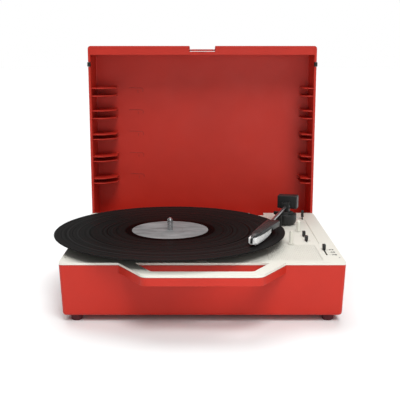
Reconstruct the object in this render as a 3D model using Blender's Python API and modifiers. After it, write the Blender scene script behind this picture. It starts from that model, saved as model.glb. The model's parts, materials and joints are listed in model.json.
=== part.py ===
"""Suitcase record player, standing open with an LP on the platter.

The origin is the centre of the base's flat underside. X runs to the right,
Y to the back and Z up. All sizes are in metres.
"""
import math

import bmesh
import bpy
from mathutils import Matrix, Vector

# ---- Driving sizes of the case ------------------------------------------------
CASE_WIDTH = 0.340
CASE_DEPTH = 0.280
BASE_HEIGHT = 0.0665           # underside to the deck's top face
LID_HEIGHT = 0.050             # rim to the outside of the lid's panel
DRAFT = math.radians(2.3)      # lean of every outer wall
CORNER_RADIUS = 0.0040
LEAST_CORNER = 1.15            # of the wall's thickness
BASE_WALL = 0.003
LID_WALL = 0.0034
DECK_THICKNESS = 0.0028
SEAM = 0.0003                  # gap between pieces that rest on each other
FOOT_RADIUS = 0.0075
FOOT_HEIGHT = 0.008
FOOT_INSET = 0.018             # foot's centre to the case's side
FOOT_INSET_DEEP = 0.015        # foot's centre to the case's front or back

# ---- Carrying handle, moulded with the base and the deck ------------------------
HANDLE_REACH = 0.0514          # outer edge of the bar, from the deck's front edge
HANDLE_BAR = 0.0156            # width of the bar seen from above
HANDLE_OUTER_BAR = 0.134       # outer length along the bar
HANDLE_INNER_BAR = 0.117       # length of the finger gap along the bar
HANDLE_OUTER_ROOT = 0.200      # outer length where it meets the case
HANDLE_INNER_ROOT = 0.162      # length of the finger gap where it meets the case
HANDLE_RED_HEIGHT = 0.0096     # the base's share of the handle's thickness
HANDLE_OUTER_ROUND = 0.012     # corner radius at the ends of the bar
HANDLE_INNER_ROUND = 0.006     # corner radius at the ends of the finger gap

# ---- Lid hinge ------------------------------------------------------------------
HINGE_INSET = 0.012            # axis to the case's back
HINGE_DROP = 0.0161            # axis below the deck's top
HINGE_SPACING = 0.166          # between the two hinges
LID_SEAT_GAP = 0.0004          # rim above the deck when the lid is shut
LID_SWING_GAP = 0.0005         # air between the lid and the deck's back edge in the swing
HINGE_PIN_RADIUS = 0.002
HINGE_ARM_WIDTH = 0.018
HINGE_ARM_THICKNESS = 0.003
HINGE_ARM_REACH = 0.034        # leg's end above the axis, lid shut
HINGE_PLAY = 0.0014            # beside the arm in its pocket
BRACKET_SHEET = 0.0015

# ---- Lid details ----------------------------------------------------------------
LID_LIP = 0.013                # depth of the flange along the lid's front rim
LID_LIP_THICKNESS = 0.003
LATCH_SLOT_WIDTH = 0.0385
LATCH_SLOT_DEPTH = 0.0082
LATCH_WIDTH = 0.0307
LATCH_LENGTH = 0.022
LATCH_THICKNESS = 0.0026
LATCH_SUNK = 0.0049            # latch's face below the lid's front face
LATCH_TONGUE = 0.0025          # how far the tongue stands past the rim
LATCH_TONGUE_WIDTH = 0.012
LATCH_PIN_RADIUS = 0.0012
BUMPER_FROM_FRONT = 0.027      # bumper's centre to the lid's front face
BUMPER_SIZE = Vector((0.0045, 0.0065, 0.008))
BUMPER_PROUD = 0.0013
FIN_THICKNESS = 0.0014
FIN_PAIRS = 5
FIN_PITCH = 0.0338
FIN_FIRST = 0.0484             # nearest pair's middle above the deck, lid open
FIN_SLOT_NARROW = 0.0072       # the three pairs nearest to the deck
FIN_SLOT_WIDE = 0.0115         # the two pairs farthest from it
FIN_NARROW_PAIRS = 3
FIN_LENGTH_LEFT = 0.0345
FIN_LENGTH_RIGHT = 0.015
FIN_FLAT_SHARE = 0.5           # of the fin's length before its edge slopes back
FIN_SLOPE_LEFT = 0.016         # how far the sloping edge falls back
FIN_SLOPE_RIGHT = 0.005
FIN_RECESS = 0.003             # fin's front edge behind the lid's rim

# ---- Record, platter and drive ----------------------------------------------------
SPIN_X = -0.0424
SPIN_Y = -0.029
RECORD_RADIUS = 0.1505
RECORD_TOP = 0.0140            # above the deck
RECORD_THICKNESS = 0.0019
RECORD_EDGE = 0.0012
LABEL_RADIUS = 0.050
LABEL_THICKNESS = 0.0004
LABEL_RECESS = 0.0006
SPINDLE_RADIUS = 0.0036
SPINDLE_ABOVE_RECORD = 0.0165
SPINDLE_BELOW_DECK = 0.020
SPINDLE_FIT = 0.0001           # radial clearance round the spindle
MAT_RADIUS = 0.095
MAT_THICKNESS = 0.0015
PLATTER_RADIUS = 0.0975
PLATTER_WALL = 0.0016
PLATTER_ABOVE_DECK = 0.0030
PLATTER_HUB_RADIUS = 0.009
BELT_RING_RADIUS = 0.072
BELT_WIDTH = 0.0045
BELT_THICKNESS = 0.0008
BELT_GAP = 0.0003
BELT_ABOVE_DECK = 0.0022
PULLEY_RADIUS = 0.0045
PULLEY_FLANGE = 0.0012
MOTOR_FROM_SPINDLE = 0.084
MOTOR_BEARING = math.radians(135)   # direction of the motor from the spindle
MOTOR_RADIUS = 0.016
MOTOR_HEIGHT = 0.021
MOTOR_SHAFT_RADIUS = 0.001
BEARING_RADIUS = 0.0075
BEARING_FLANGE = 0.011
BEARING_FLANGE_THICKNESS = 0.0012

# ---- Tonearm ----------------------------------------------------------------------
ARM_X = 0.1195
ARM_Y = 0.063
ARM_ANGLE = math.radians(17.0)      # arm's line from straight ahead, towards the spindle
ARM_AXIS_HEIGHT = 0.026             # lift axis above the deck
PEDESTAL_RADIUS = 0.0155
PEDESTAL_FOOT_RADIUS = 0.0105
PEDESTAL_HEIGHT = 0.016
YOKE_RADIUS = 0.0105
YOKE_PLATE = 0.002
YOKE_WIDTH = 0.0106
YOKE_CHEEK = 0.0016
YOKE_DEPTH = 0.011
YOKE_ABOVE_AXIS = 0.006
NECK_PLAY = 0.0004
NECK_FRONT = 0.0062                 # ahead of the lift axis
NECK_BELOW_AXIS = 0.0055
NECK_ABOVE_AXIS = 0.0052
PIVOT_PIN_RADIUS = 0.001
PIVOT_PIN_PROUD = 0.0004            # pin's end outside the yoke's cheek
WEIGHT_WIDTH = 0.0285
WEIGHT_DEPTH = 0.015
WEIGHT_BOTTOM = 0.0210              # above the deck
WEIGHT_TOP = 0.0400
WEIGHT_ROUND = 0.0015
WEIGHT_START = 0.0085               # front face behind the pivot
TUBE_RADIUS = 0.0021
TUBE_FALL = 0.0008                  # how much lower the tube's front end is
HEADSHELL_START = 0.105             # from the pivot
HEADSHELL_SIDE = 0.0050             # shell's middle to the right of the tube, at its back
HEADSHELL_TURN = math.radians(5.8)  # shell's line from the tube's, towards the spindle
HEADSHELL_LENGTH = 0.084
HEADSHELL_BACK_WIDTH = 0.0172
HEADSHELL_FRONT_WIDTH = 0.0085
HEADSHELL_CHAMFER = 0.005           # how far its back corners are set forward
HEADSHELL_NOSE = 0.008              # length of the narrowing front end
HEADSHELL_HEIGHT = 0.0072
HEADSHELL_ROUND = 0.0012
HEADSHELL_BOTTOM = 0.0225           # above the deck
TUBE_IN_SHELL = 0.008
CARTRIDGE_START = 0.030             # its heel, from the shell's back
CARTRIDGE_END = 0.0885              # nose, from the shell's back
CARTRIDGE_WIDTH = 0.0118
CARTRIDGE_HEEL = 0.010              # length of the sloping underside at its back
CARTRIDGE_CHIN = 0.004              # how far the nose's foot is set back
CARTRIDGE_ROUND = 0.0010
CARTRIDGE_TOP_GAP = 0.0003
CARTRIDGE_BOTTOM = 0.0156           # above the deck
STYLUS_BACK = 0.007                 # tip behind the cartridge's nose
STYLUS_CONE = 0.0004                # straight part above the point
STYLUS_RADIUS = 0.0006
STYLUS_GAP = 0.0003                 # tip above the record
ARM_REST_X = 0.1145
ARM_REST_Y = -0.052
ARM_REST_HEIGHT = 0.018
ARM_REST_RADIUS = 0.0027
SADDLE_RADIUS = 0.0014
SADDLE_ABOVE_POST = 0.0006
PEG_X = 0.1327
PEG_Y = 0.0187
PEG_HEIGHT = 0.0156
PEG_RADIUS = 0.0026
CUE_ARC_RADIUS = 0.0235             # middle of the lift bar, from the pivot
CUE_ARC_WIDTH = 0.004
CUE_ARC_START = math.radians(-2)    # ends of the bar, as directions of the arm
CUE_ARC_END = math.radians(48)
CUE_ARC_BOTTOM = 0.0185             # above the deck
CUE_ARC_HEIGHT = 0.0042
CUE_STEM_RADIUS = 0.0014
CUE_LEVER_X = 0.148
CUE_LEVER_Y = 0.097
CUE_LEVER_LENGTH = 0.013            # above its axis
CUE_LEVER_WIDTH = 0.0036
CUE_LEVER_DEPTH = 0.0042

# ---- Slide controls -----------------------------------------------------------------
KNOB_WIDTH = 0.0042
KNOB_LENGTH = 0.0055
KNOB_HEIGHT = 0.0070
SLIDE_X = 0.1364
VOLUME_Y = -0.0095
AUTO_STOP_Y = -0.0345
VOLUME_TRAVEL = 0.008               # total
AUTO_STOP_TRAVEL = 0.005
SPEED_X = 0.1525
SPEED_Y = -0.0800                   # rearmost of three stops
SPEED_TRAVEL = 0.024
STEM_WIDTH = 0.0012
STEM_LENGTH = 0.0030
STEM_BELOW_DECK = 0.004
SLOT_PLAY = 0.0005
GROOVE_X = 0.1507
GROOVE_BACK = 0.093
GROOVE_FRONT = -0.050
GROOVE_WIDTH = 0.0012
GROOVE_DEPTH = 0.0008

# ---- Loudspeaker ----------------------------------------------------------------------
SPEAKER_X = 0.112
SPEAKER_Y = -0.0925
SPEAKER_RADIUS = 0.035
SPEAKER_DEPTH = 0.024
SPEAKER_MAGNET_RADIUS = 0.017
SPEAKER_SHEET = 0.0015
GRILLE_WIDTH = 0.064
GRILLE_DEPTH = 0.072
GRILLE_THICKNESS = 0.0016
GRILLE_HOLE_RADIUS = 0.0015
GRILLE_COLUMNS = 8
GRILLE_ROWS = 9
GRILLE_LEDGE = 0.0015               # the deck's ledge that the grille rests on
SPEAKER_FLANGE = 0.004
SPEAKER_SHOULDER = 0.003            # basket's straight wall under its flange
SPEAKER_CAP_RADIUS = 0.009
SPEAKER_PAPER = 0.0006

# ---- Electrics and fasteners --------------------------------------------------------------
BOARD_THICKNESS = 0.0016
BOARD_BELOW_DECK = 0.006
JACK_HEIGHT = 0.022                 # above the underside
JACK_RADIUS = 0.0042
JACK_FLANGE_RADIUS = 0.0058
JACK_FLANGE_THICKNESS = 0.001
JACK_PROUD = 0.007
JACK_INSIDE = 0.009
JACK_BORE = 0.0017
JACK_INLET_BORE = 0.0028
JACK_PIN_RADIUS = 0.0009
JACK_BORE_DEPTH = 0.0075
CONTROL_BOARD = ((0.122, -0.048), (0.160, 0.012))       # corners, X and Y
AMPLIFIER_BOARD = ((0.052, 0.086), (0.140, 0.122))
AMPLIFIER_Z = 0.011
POST_RADIUS = 0.003
SCREW_X = 0.155
SCREW_Y = 0.060
SCREW_HEAD_RADIUS = 0.0035
SCREW_HEAD_HEIGHT = 0.0016
SCREW_RADIUS = 0.0015
SCREW_LENGTH = 0.014
BOSS_RADIUS = 0.0048

# ---- Small roundings, fits and spares -------------------------------------------------------
EDGE_BREAK = 0.001             # small corner taken off a turned edge
CUT_PAST = 0.002               # how far a cutter runs past what it cuts
FOOT_ROUND = 0.0012
SCREW_POINT = 0.002            # tapering end of a case screw
BUMPER_ROUND = 0.0008
LATCH_PIN_GRIP = 0.0015        # pin's end inside the lid's slot wall
PIN_PAST_EAR = 0.003           # hinge pin's end outside the bracket's ear
BRACKET_GAP = 0.0006           # bracket to the base's rear wall
BRACKET_BELOW_POCKET = 0.001
BRACKET_LEG = 0.014            # height of the leg below the pocket
BRACKET_METAL = 0.003          # metal left round the hinge pin
RECORD_BEAD = 0.001            # sloping edge of the record
BELT_RING_BELOW = 0.0006       # platter's belt ring below the belt
SPINDLE_PAST_BEARING = 0.002
MOTOR_BELOW_DECK = 0.002
PULLEY_ROOM = 0.001            # air round the pulley in the deck's hole
PULLEY_RIM = 0.001             # thickness of each of its flanges
PULLEY_STEP = 0.0004           # flange to the belt's edge
PEDESTAL_ROUND = 0.0008
PEDESTAL_FLARE = 0.009         # height of the curve down to its foot
REST_ROUND = 0.0006
POST_FILLET = 0.0016
POST_FOOT = 0.0012
PEG_ROUND = 0.0012
PEG_FILLET = 0.0012
PEG_FOOT = 0.0009
CUE_STEM_BELOW = 0.006         # stem's end below the deck's underside
CUE_LEVER_SLOT = 0.0045        # half the length of its slot in the deck
CUE_LEVER_STEM = 0.0015        # half the depth of the lever's stem
CUE_LEVER_NECK = 0.004         # stem's end inside the grip, above the axis
CUE_GRIP_START = 0.0033        # grip's underside above the axis
KNOB_ROUND = 0.0006
STEM_IN_KNOB = 0.001
SPEAKER_CAP_SEAT = 0.004       # dust cap's seat above the voice coil
SPEAKER_CAP_RISE = 0.003

# ---- Places worked out from the sizes -----------------------------------------------------
HALF_WIDTH = CASE_WIDTH / 2
HALF_DEPTH = CASE_DEPTH / 2
DECK_TOP = BASE_HEIGHT
DECK_UNDERSIDE = DECK_TOP - DECK_THICKNESS
BASE_RIM = DECK_UNDERSIDE - SEAM
HINGE_Y = HALF_DEPTH - HINGE_INSET
HINGE_Z = DECK_TOP - HINGE_DROP
LID_RIM = HINGE_DROP + LID_SEAT_GAP           # rim above the hinge axis, lid shut
LID_TOP = LID_RIM + LID_HEIGHT
LID_FRONT = HINGE_INSET - CASE_DEPTH          # front face from the axis, lid shut
RECORD_UNDERSIDE = DECK_TOP + RECORD_TOP - RECORD_THICKNESS
MAT_TOP = RECORD_UNDERSIDE - SEAM
PLATTER_TOP = MAT_TOP - MAT_THICKNESS - SEAM
HINGE_SIDES = {"left": -HINGE_SPACING / 2, "right": HINGE_SPACING / 2}
MOTOR_X = SPIN_X + MOTOR_FROM_SPINDLE * math.cos(MOTOR_BEARING)
MOTOR_Y = SPIN_Y + MOTOR_FROM_SPINDLE * math.sin(MOTOR_BEARING)
BELT_BOTTOM = DECK_TOP + BELT_ABOVE_DECK
JACKS = {"line_out_left": 0.062, "line_out_right": 0.080, "headphone_jack": 0.104,
         "power_inlet": 0.128}
SCREW_PLACES = [(x, y) for x in (-SCREW_X, SCREW_X) for y in (-SCREW_Y, SCREW_Y)]
HINGE_LEG_BACK = HINGE_INSET - LID_WALL - LID_HEIGHT * math.tan(DRAFT) - SEAM
HINGE_POCKET = HINGE_ARM_WIDTH / 2 + HINGE_PLAY
HINGE_STOP_Z = HINGE_Z - HINGE_LEG_BACK - SEAM   # pocket's floor, where the open lid rests


# ---- Tools shared by the pieces ------------------------------------------------------------
def clear_scene():
    for item in list(bpy.data.objects):
        bpy.data.objects.remove(item, do_unlink=True)


def new_collection(name):
    collection = bpy.data.collections.new(name)
    bpy.context.scene.collection.children.link(collection)
    return collection


clear_scene()
PARTS = new_collection("suitcase_record_player")
CUTTERS = new_collection("cutters")


def material(name, colour, roughness, metallic=0.0):
    finish = bpy.data.materials.new(name)
    finish.use_nodes = True
    shader = finish.node_tree.nodes["Principled BSDF"]
    shader.inputs["Base Color"].default_value = (*colour, 1)
    shader.inputs["Roughness"].default_value = roughness
    shader.inputs["Metallic"].default_value = metallic
    finish.diffuse_color = (*colour, 1)
    return finish


RED = material("red_plastic", (0.54, 0.045, 0.028), 0.45)
CREAM = material("cream_plastic", (0.83, 0.81, 0.72), 0.45)
BLACK = material("black_plastic", (0.015, 0.015, 0.017), 0.4)
WHITE = material("white_plastic", (0.85, 0.85, 0.85), 0.35)
RUBBER = material("black_rubber", (0.02, 0.02, 0.02), 0.8)
FOOT_RUBBER = material("dark_red_rubber", (0.08, 0.012, 0.015), 0.7)
VINYL = material("vinyl", (0.012, 0.012, 0.013), 0.25)
PAPER = material("label_paper", (0.25, 0.25, 0.26), 0.8)
FELT = material("felt", (0.03, 0.03, 0.03), 0.95)
STEEL = material("bright_steel", (0.62, 0.62, 0.64), 0.25, 1.0)
BRASS = material("brass", (0.70, 0.50, 0.20), 0.3, 1.0)
BOARD = material("circuit_board", (0.02, 0.16, 0.06), 0.5)
CONE_PAPER = material("cone_paper", (0.05, 0.05, 0.05), 0.9)
LINE_RED = material("line_out_red", (0.60, 0.02, 0.02), 0.4)


def add_piece(name, mesh, finish, parent=None, location=(0, 0, 0)):
    piece = bpy.data.objects.new(name, mesh)
    mesh.materials.clear()
    mesh.materials.append(finish)
    piece.location = location
    piece.parent = parent
    PARTS.objects.link(piece)
    return piece


def add_helper(name, mesh, parent=None, location=(0, 0, 0)):
    helper = bpy.data.objects.new(name, mesh)
    helper.location = location
    helper.parent = parent
    helper.display_type = "WIRE"
    helper.hide_render = True
    CUTTERS.objects.link(helper)
    return helper


def add_empty(name, location, rotation=(0, 0, 0), parent=None):
    empty = bpy.data.objects.new(name, None)
    empty.location = location
    empty.rotation_euler = rotation
    empty.parent = parent
    PARTS.objects.link(empty)
    return empty


def mesh_from(name, build):
    mesh = bpy.data.meshes.new(name)
    form = bmesh.new()
    build(form)
    form.to_mesh(mesh)
    form.free()
    return mesh


def box_mesh(name, low, high):
    low, high = Vector(low), Vector(high)
    size = high - low

    def build(form):
        place = Matrix.Translation((low + high) / 2) @ Matrix.Diagonal((*size, 1))
        bmesh.ops.create_cube(form, size=1, matrix=place)
    return mesh_from(name, build)


def cylinder_mesh(name, radius, bottom, top, centre=(0, 0), sides=24, turn=None):
    turn = turn or Matrix.Identity(4)

    def build(form):
        place = turn @ Matrix.Translation((centre[0], centre[1], (bottom + top) / 2))
        bmesh.ops.create_cone(form, cap_ends=True, segments=sides, radius1=radius,
                              radius2=radius, depth=top - bottom, matrix=place)
    return mesh_from(name, build)


def joined_mesh(name, meshes):
    def build(form):
        for part in meshes:
            form.from_mesh(part)
    return mesh_from(name, build)


def turned_mesh(name, profile, sides, closed_loop=False):
    """A profile of (radius, height) points, turned round Z by a Screw modifier."""
    profile_mesh = bpy.data.meshes.new(name + "_profile")
    last = len(profile)
    edges = [(i, (i + 1) % last) for i in range(last if closed_loop else last - 1)]
    profile_mesh.from_pydata([(r, 0, z) for r, z in profile], edges, [])
    lathe = add_helper(name + "_lathe", profile_mesh)
    screw = lathe.modifiers.new("turn", "SCREW")
    screw.steps = sides
    screw.render_steps = sides
    screw.use_merge_vertices = True
    screw.merge_threshold = 0.00001
    return applied_mesh(lathe, name)


def applied_mesh(source, name, weld=0.0):
    """The evaluated mesh of an object, after which the object is removed."""
    bpy.context.view_layer.update()
    graph = bpy.context.evaluated_depsgraph_get()
    mesh = bpy.data.meshes.new_from_object(source.evaluated_get(graph), depsgraph=graph)
    mesh.name = name
    if weld:
        form = bmesh.new()
        form.from_mesh(mesh)
        bmesh.ops.remove_doubles(form, verts=form.verts, dist=weld)
        bmesh.ops.recalc_face_normals(form, faces=form.faces)
        form.to_mesh(mesh)
        form.free()
    mesh.transform(source.matrix_world)
    bpy.data.objects.remove(source, do_unlink=True)
    return mesh


def outline_mesh(name, loops, thickness, matrix=None):
    """A flat outline with holes, as a filled 2D curve with an extrude."""
    curve = bpy.data.curves.new(name, "CURVE")
    curve.dimensions = "2D"
    curve.fill_mode = "BOTH"
    curve.extrude = thickness / 2
    for points in loops:
        spline = curve.splines.new("POLY")
        spline.points.add(len(points) - 1)
        for point, (x, y) in zip(spline.points, points):
            point.co = (x, y, 0, 1)
        spline.use_cyclic_u = True
    holder = bpy.data.objects.new(name, curve)
    CUTTERS.objects.link(holder)
    holder.matrix_world = matrix or Matrix.Identity(4)
    return applied_mesh(holder, name, weld=0.00001)


def rod_mesh(name, points, radius, resolution=3):
    """A round rod along a run of points, as a bevelled curve with filled caps."""
    curve = bpy.data.curves.new(name, "CURVE")
    curve.dimensions = "3D"
    curve.bevel_depth = radius
    curve.bevel_resolution = resolution
    curve.use_fill_caps = True
    spline = curve.splines.new("POLY")
    spline.points.add(len(points) - 1)
    for point, place in zip(spline.points, points):
        point.co = (*place, 1)
    holder = bpy.data.objects.new(name, curve)
    CUTTERS.objects.link(holder)
    return applied_mesh(holder, name, weld=0.00001)


def boolean(piece, helper, operation):
    modifier = piece.modifiers.new(helper.name, "BOOLEAN")
    modifier.operation = operation
    modifier.solver = "EXACT"
    modifier.object = helper
    return modifier


def cut(piece, mesh, parent=None):
    boolean(piece, add_helper(mesh.name, mesh, parent), "DIFFERENCE")


def unite(piece, mesh, parent=None):
    boolean(piece, add_helper(mesh.name, mesh, parent), "UNION")


def bevel(piece, width, segments=1, angle=40):
    modifier = piece.modifiers.new("rounded_edges", "BEVEL")
    modifier.width = width
    modifier.segments = segments
    modifier.limit_method = "ANGLE"
    modifier.angle_limit = math.radians(angle)
    return modifier


def corner_arc(cx, cy, radius, start_degrees, steps=4):
    """Points of a quarter circle, anticlockwise from start_degrees."""
    points = []
    for i in range(steps + 1):
        angle = math.radians(start_degrees + 90 * i / steps)
        points.append((cx + radius * math.cos(angle), cy + radius * math.sin(angle)))
    return points


def open_box_mesh(name, half_x, front, back, rim, end, lean):
    """A drafted box without its face at the rim; the far face at 'end' is smaller."""
    def build(form):
        middle = Vector((0, (front + back) / 2, (rim + end) / 2))
        size = Matrix.Diagonal((2 * half_x, back - front, abs(end - rim), 1))
        bmesh.ops.create_cube(form, size=1, matrix=Matrix.Translation(middle) @ size)
        rim_side = 1 if rim > end else -1
        for vert in form.verts:
            if (vert.co.z - middle.z) * rim_side < 0:
                vert.co.x -= math.copysign(lean, vert.co.x)
                vert.co.y -= math.copysign(lean, vert.co.y - middle.y)
        opening = [f for f in form.faces if f.normal.z * rim_side > 0.9]
        bmesh.ops.delete(form, geom=opening, context="FACES_ONLY")
    return mesh_from(name, build)


def shell(piece, wall):
    """Rounds an open box's edges, then gives it a wall on the inside, whose corners stay round."""
    bevel(piece, max(CORNER_RADIUS, wall * LEAST_CORNER), 3, 30)
    modifier = piece.modifiers.new("wall", "SOLIDIFY")
    modifier.thickness = wall
    modifier.offset = -1
    modifier.use_even_offset = True
    modifier.use_quality_normals = True


# ---- Case ------------------------------------------------------------------------------
def rounded_corner(before, corner, after, radius, steps=5):
    """Points of the arc that rounds one corner of an outline."""
    corner = Vector(corner)
    inward, outward = (Vector(before) - corner).normalized(), (Vector(after) - corner).normalized()
    half = inward.angle(outward) / 2
    middle = corner + (inward + outward).normalized() * radius / math.sin(half)
    first = corner + inward * radius / math.tan(half) - middle
    sweep = first.angle_signed(corner + outward * radius / math.tan(half) - middle)
    return [tuple(middle + Matrix.Rotation(-sweep * i / steps, 2) @ first)
            for i in range(steps + 1)]


def handle_frame():
    """Outline of the handle seen from above: a trapezoid bar and its two arms."""
    root_y = -HALF_DEPTH + BASE_WALL * 0.6
    bar_y = -HALF_DEPTH - HANDLE_REACH
    near = bar_y + HANDLE_BAR
    outer, inner = HANDLE_OUTER_BAR / 2, HANDLE_INNER_BAR / 2
    outer_root, inner_root = HANDLE_OUTER_ROOT / 2, HANDLE_INNER_ROOT / 2
    outside = [(-outer_root, root_y), (-outer, bar_y), (outer, bar_y), (outer_root, root_y)]
    inside = [(inner_root, root_y), (inner, near), (-inner, near), (-inner_root, root_y)]
    loop = []
    for corners, radius in ((outside, HANDLE_OUTER_ROUND), (inside, HANDLE_INNER_ROUND)):
        first, second, third, fourth = corners
        loop += [first, *rounded_corner(first, second, third, radius),
                 *rounded_corner(second, third, fourth, radius), fourth]
    return loop


def make_base_shell():
    lean = BASE_RIM * math.tan(DRAFT)
    mesh = open_box_mesh("base_shell", HALF_WIDTH, -HALF_DEPTH, HALF_DEPTH,
                         BASE_RIM, 0, lean)
    base = add_piece("base_shell", mesh, RED)
    shell(base, BASE_WALL)
    middle = Matrix.Translation((0, 0, BASE_RIM - HANDLE_RED_HEIGHT / 2))
    unite(base, outline_mesh("handle_grip", [handle_frame()], HANDLE_RED_HEIGHT, middle))
    for side, x in HINGE_SIDES.items():
        cut(base, box_mesh("base_pocket_" + side, (x - HINGE_POCKET, HINGE_Y, HINGE_STOP_Z),
                           (x + HINGE_POCKET, HALF_DEPTH + 0.01, BASE_RIM + 0.01)))
    for name, x in JACKS.items():
        turn = Matrix.Translation((x, 0, JACK_HEIGHT)) @ Matrix.Rotation(
            math.radians(-90), 4, "X")
        cut(base, cylinder_mesh(name + "_hole", JACK_RADIUS + SEAM, HINGE_Y - 0.01,
                                HALF_DEPTH + 0.01, sides=16, turn=turn))
    for index, (x, y) in enumerate(SCREW_PLACES, 1):
        recess = cylinder_mesh(f"screw_recess_{index}", SCREW_HEAD_RADIUS + SEAM,
                               -0.01, SCREW_HEAD_HEIGHT + SEAM, (x, y), 16)
        cut(base, recess)
        cut(base, cylinder_mesh(f"screw_way_{index}", SCREW_RADIUS + SEAM, -0.01,
                                BASE_WALL + 0.01, (x, y), 12))
    (left, front), (right, back) = AMPLIFIER_BOARD
    for x in (left + POST_RADIUS, right - POST_RADIUS):
        for y in (front + POST_RADIUS, back - POST_RADIUS):
            unite(base, cylinder_mesh(f"board_post_{x:.3f}_{y:.3f}", POST_RADIUS,
                                      BASE_WALL / 2, AMPLIFIER_Z - SEAM, (x, y), 10))


def make_deck_plate():
    right, back = HALF_WIDTH - CORNER_RADIUS, HALF_DEPTH - CORNER_RADIUS
    loop = corner_arc(-right, -back, CORNER_RADIUS, 180)
    loop += corner_arc(right, -back, CORNER_RADIUS, 270)
    loop += corner_arc(right, back, CORNER_RADIUS, 0)
    loop += corner_arc(-right, back, CORNER_RADIUS, 90)
    middle = Matrix.Translation((0, 0, (DECK_TOP + DECK_UNDERSIDE) / 2))
    mesh = outline_mesh("deck_plate", [loop], DECK_THICKNESS, middle)
    deck = add_piece("deck_plate", mesh, CREAM)
    unite(deck, outline_mesh("handle_top", [handle_frame()], DECK_THICKNESS, middle))
    below, above = DECK_UNDERSIDE - 0.01, DECK_TOP + 0.01
    front = HINGE_Y - HINGE_PIN_RADIUS - HINGE_ARM_THICKNESS - SEAM
    for side, x in HINGE_SIDES.items():
        cut(deck, box_mesh("deck_notch_" + side, (x - HINGE_POCKET, front, below),
                           (x + HINGE_POCKET, HALF_DEPTH + 0.01, above)))
    cut(deck, cylinder_mesh("bearing_hole", BEARING_RADIUS + SEAM, below, above,
                            (SPIN_X, SPIN_Y)))
    pulley_room = PULLEY_RADIUS + PULLEY_FLANGE + PULLEY_ROOM
    cut(deck, cylinder_mesh("pulley_hole", pulley_room, below, above,
                            (MOTOR_X, MOTOR_Y), 16))
    for name, x, near, far in SLOTS:
        half = STEM_WIDTH / 2 + SLOT_PLAY
        cut(deck, box_mesh(name, (x - half, near, below), (x + half, far, above)))
    tongue = LATCH_TONGUE_WIDTH / 2 + SLOT_PLAY
    tongue_y = -HALF_DEPTH + LATCH_SUNK
    cut(deck, box_mesh("latch_slot", (-tongue, tongue_y - SLOT_PLAY, below),
                       (tongue, tongue_y + LATCH_THICKNESS + SLOT_PLAY, above)))
    cut(deck, box_mesh("deck_groove",
                       (GROOVE_X - GROOVE_WIDTH / 2, GROOVE_FRONT, DECK_TOP - GROOVE_DEPTH),
                       (GROOVE_X + GROOVE_WIDTH / 2, GROOVE_BACK, above)))
    stem_x, stem_y = cue_stem_place()
    cut(deck, cylinder_mesh("cue_stem_hole", CUE_STEM_RADIUS + SEAM, below, above,
                            (stem_x, stem_y), 12))
    window = Vector((GRILLE_WIDTH / 2 + SEAM, GRILLE_DEPTH / 2 + SEAM, 0))
    middle = Vector((SPEAKER_X, SPEAKER_Y, 0))
    seat = DECK_TOP - GRILLE_THICKNESS - SEAM
    low, high = middle - window, middle + window
    low.z, high.z = seat, above
    cut(deck, box_mesh("grille_seat", low, high))
    ledge = Vector((GRILLE_LEDGE, GRILLE_LEDGE, 0))
    low, high = low + ledge, high - ledge
    low.z = below
    cut(deck, box_mesh("grille_window", low, high))
    for index, (x, y) in enumerate(SCREW_PLACES, 1):
        boss = cylinder_mesh(f"boss_{index}", BOSS_RADIUS, BASE_WALL + SEAM,
                             DECK_UNDERSIDE + DECK_THICKNESS / 2, (x, y), 16)
        unite(deck, boss)
        cut(deck, cylinder_mesh(f"boss_hole_{index}", SCREW_RADIUS + SEAM, 0,
                                SCREW_LENGTH + CUT_PAST, (x, y), 12))


def slot_ends(y, travel):
    """Front and back of a slot for a knob that travels forward from y."""
    return (y - travel - STEM_LENGTH / 2 - SLOT_PLAY, y + STEM_LENGTH / 2 + SLOT_PLAY)


SLOTS = [("volume_slot", SLIDE_X,
          *slot_ends(VOLUME_Y + VOLUME_TRAVEL / 2, VOLUME_TRAVEL)),
         ("auto_stop_slot", SLIDE_X, *slot_ends(AUTO_STOP_Y, AUTO_STOP_TRAVEL)),
         ("speed_slot", SPEED_X, *slot_ends(SPEED_Y, SPEED_TRAVEL)),
         ("cue_lever_slot", CUE_LEVER_X, CUE_LEVER_Y - CUE_LEVER_SLOT,
          CUE_LEVER_Y + CUE_LEVER_SLOT)]


def make_feet():
    for row, y in (("front", -HALF_DEPTH + FOOT_INSET_DEEP),
                   ("rear", HALF_DEPTH - FOOT_INSET_DEEP)):
        for side, x in (("left", -HALF_WIDTH + FOOT_INSET),
                        ("right", HALF_WIDTH - FOOT_INSET)):
            profile = [(0, -SEAM), (FOOT_RADIUS, -SEAM),
                       (FOOT_RADIUS * 0.93, -FOOT_HEIGHT + FOOT_ROUND),
                       (FOOT_RADIUS * 0.80, -FOOT_HEIGHT), (0, -FOOT_HEIGHT)]
            name = f"foot_{row}_{side}"
            foot = add_piece(name, turned_mesh(name, profile, 24), FOOT_RUBBER)
            foot.location = (x, y, 0)


def make_screws():
    for index, (x, y) in enumerate(SCREW_PLACES, 1):
        profile = [(0, SCREW_LENGTH), (SCREW_RADIUS * 0.6, SCREW_LENGTH),
                   (SCREW_RADIUS, SCREW_LENGTH - SCREW_POINT),
                   (SCREW_RADIUS, SCREW_HEAD_HEIGHT), (SCREW_HEAD_RADIUS, SCREW_HEAD_HEIGHT),
                   (SCREW_HEAD_RADIUS, SEAM), (0, SEAM)]
        name = f"case_screw_{index}"
        screw = add_piece(name, turned_mesh(name, profile, 12), STEEL)
        screw.location = (x, y, 0)


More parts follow.
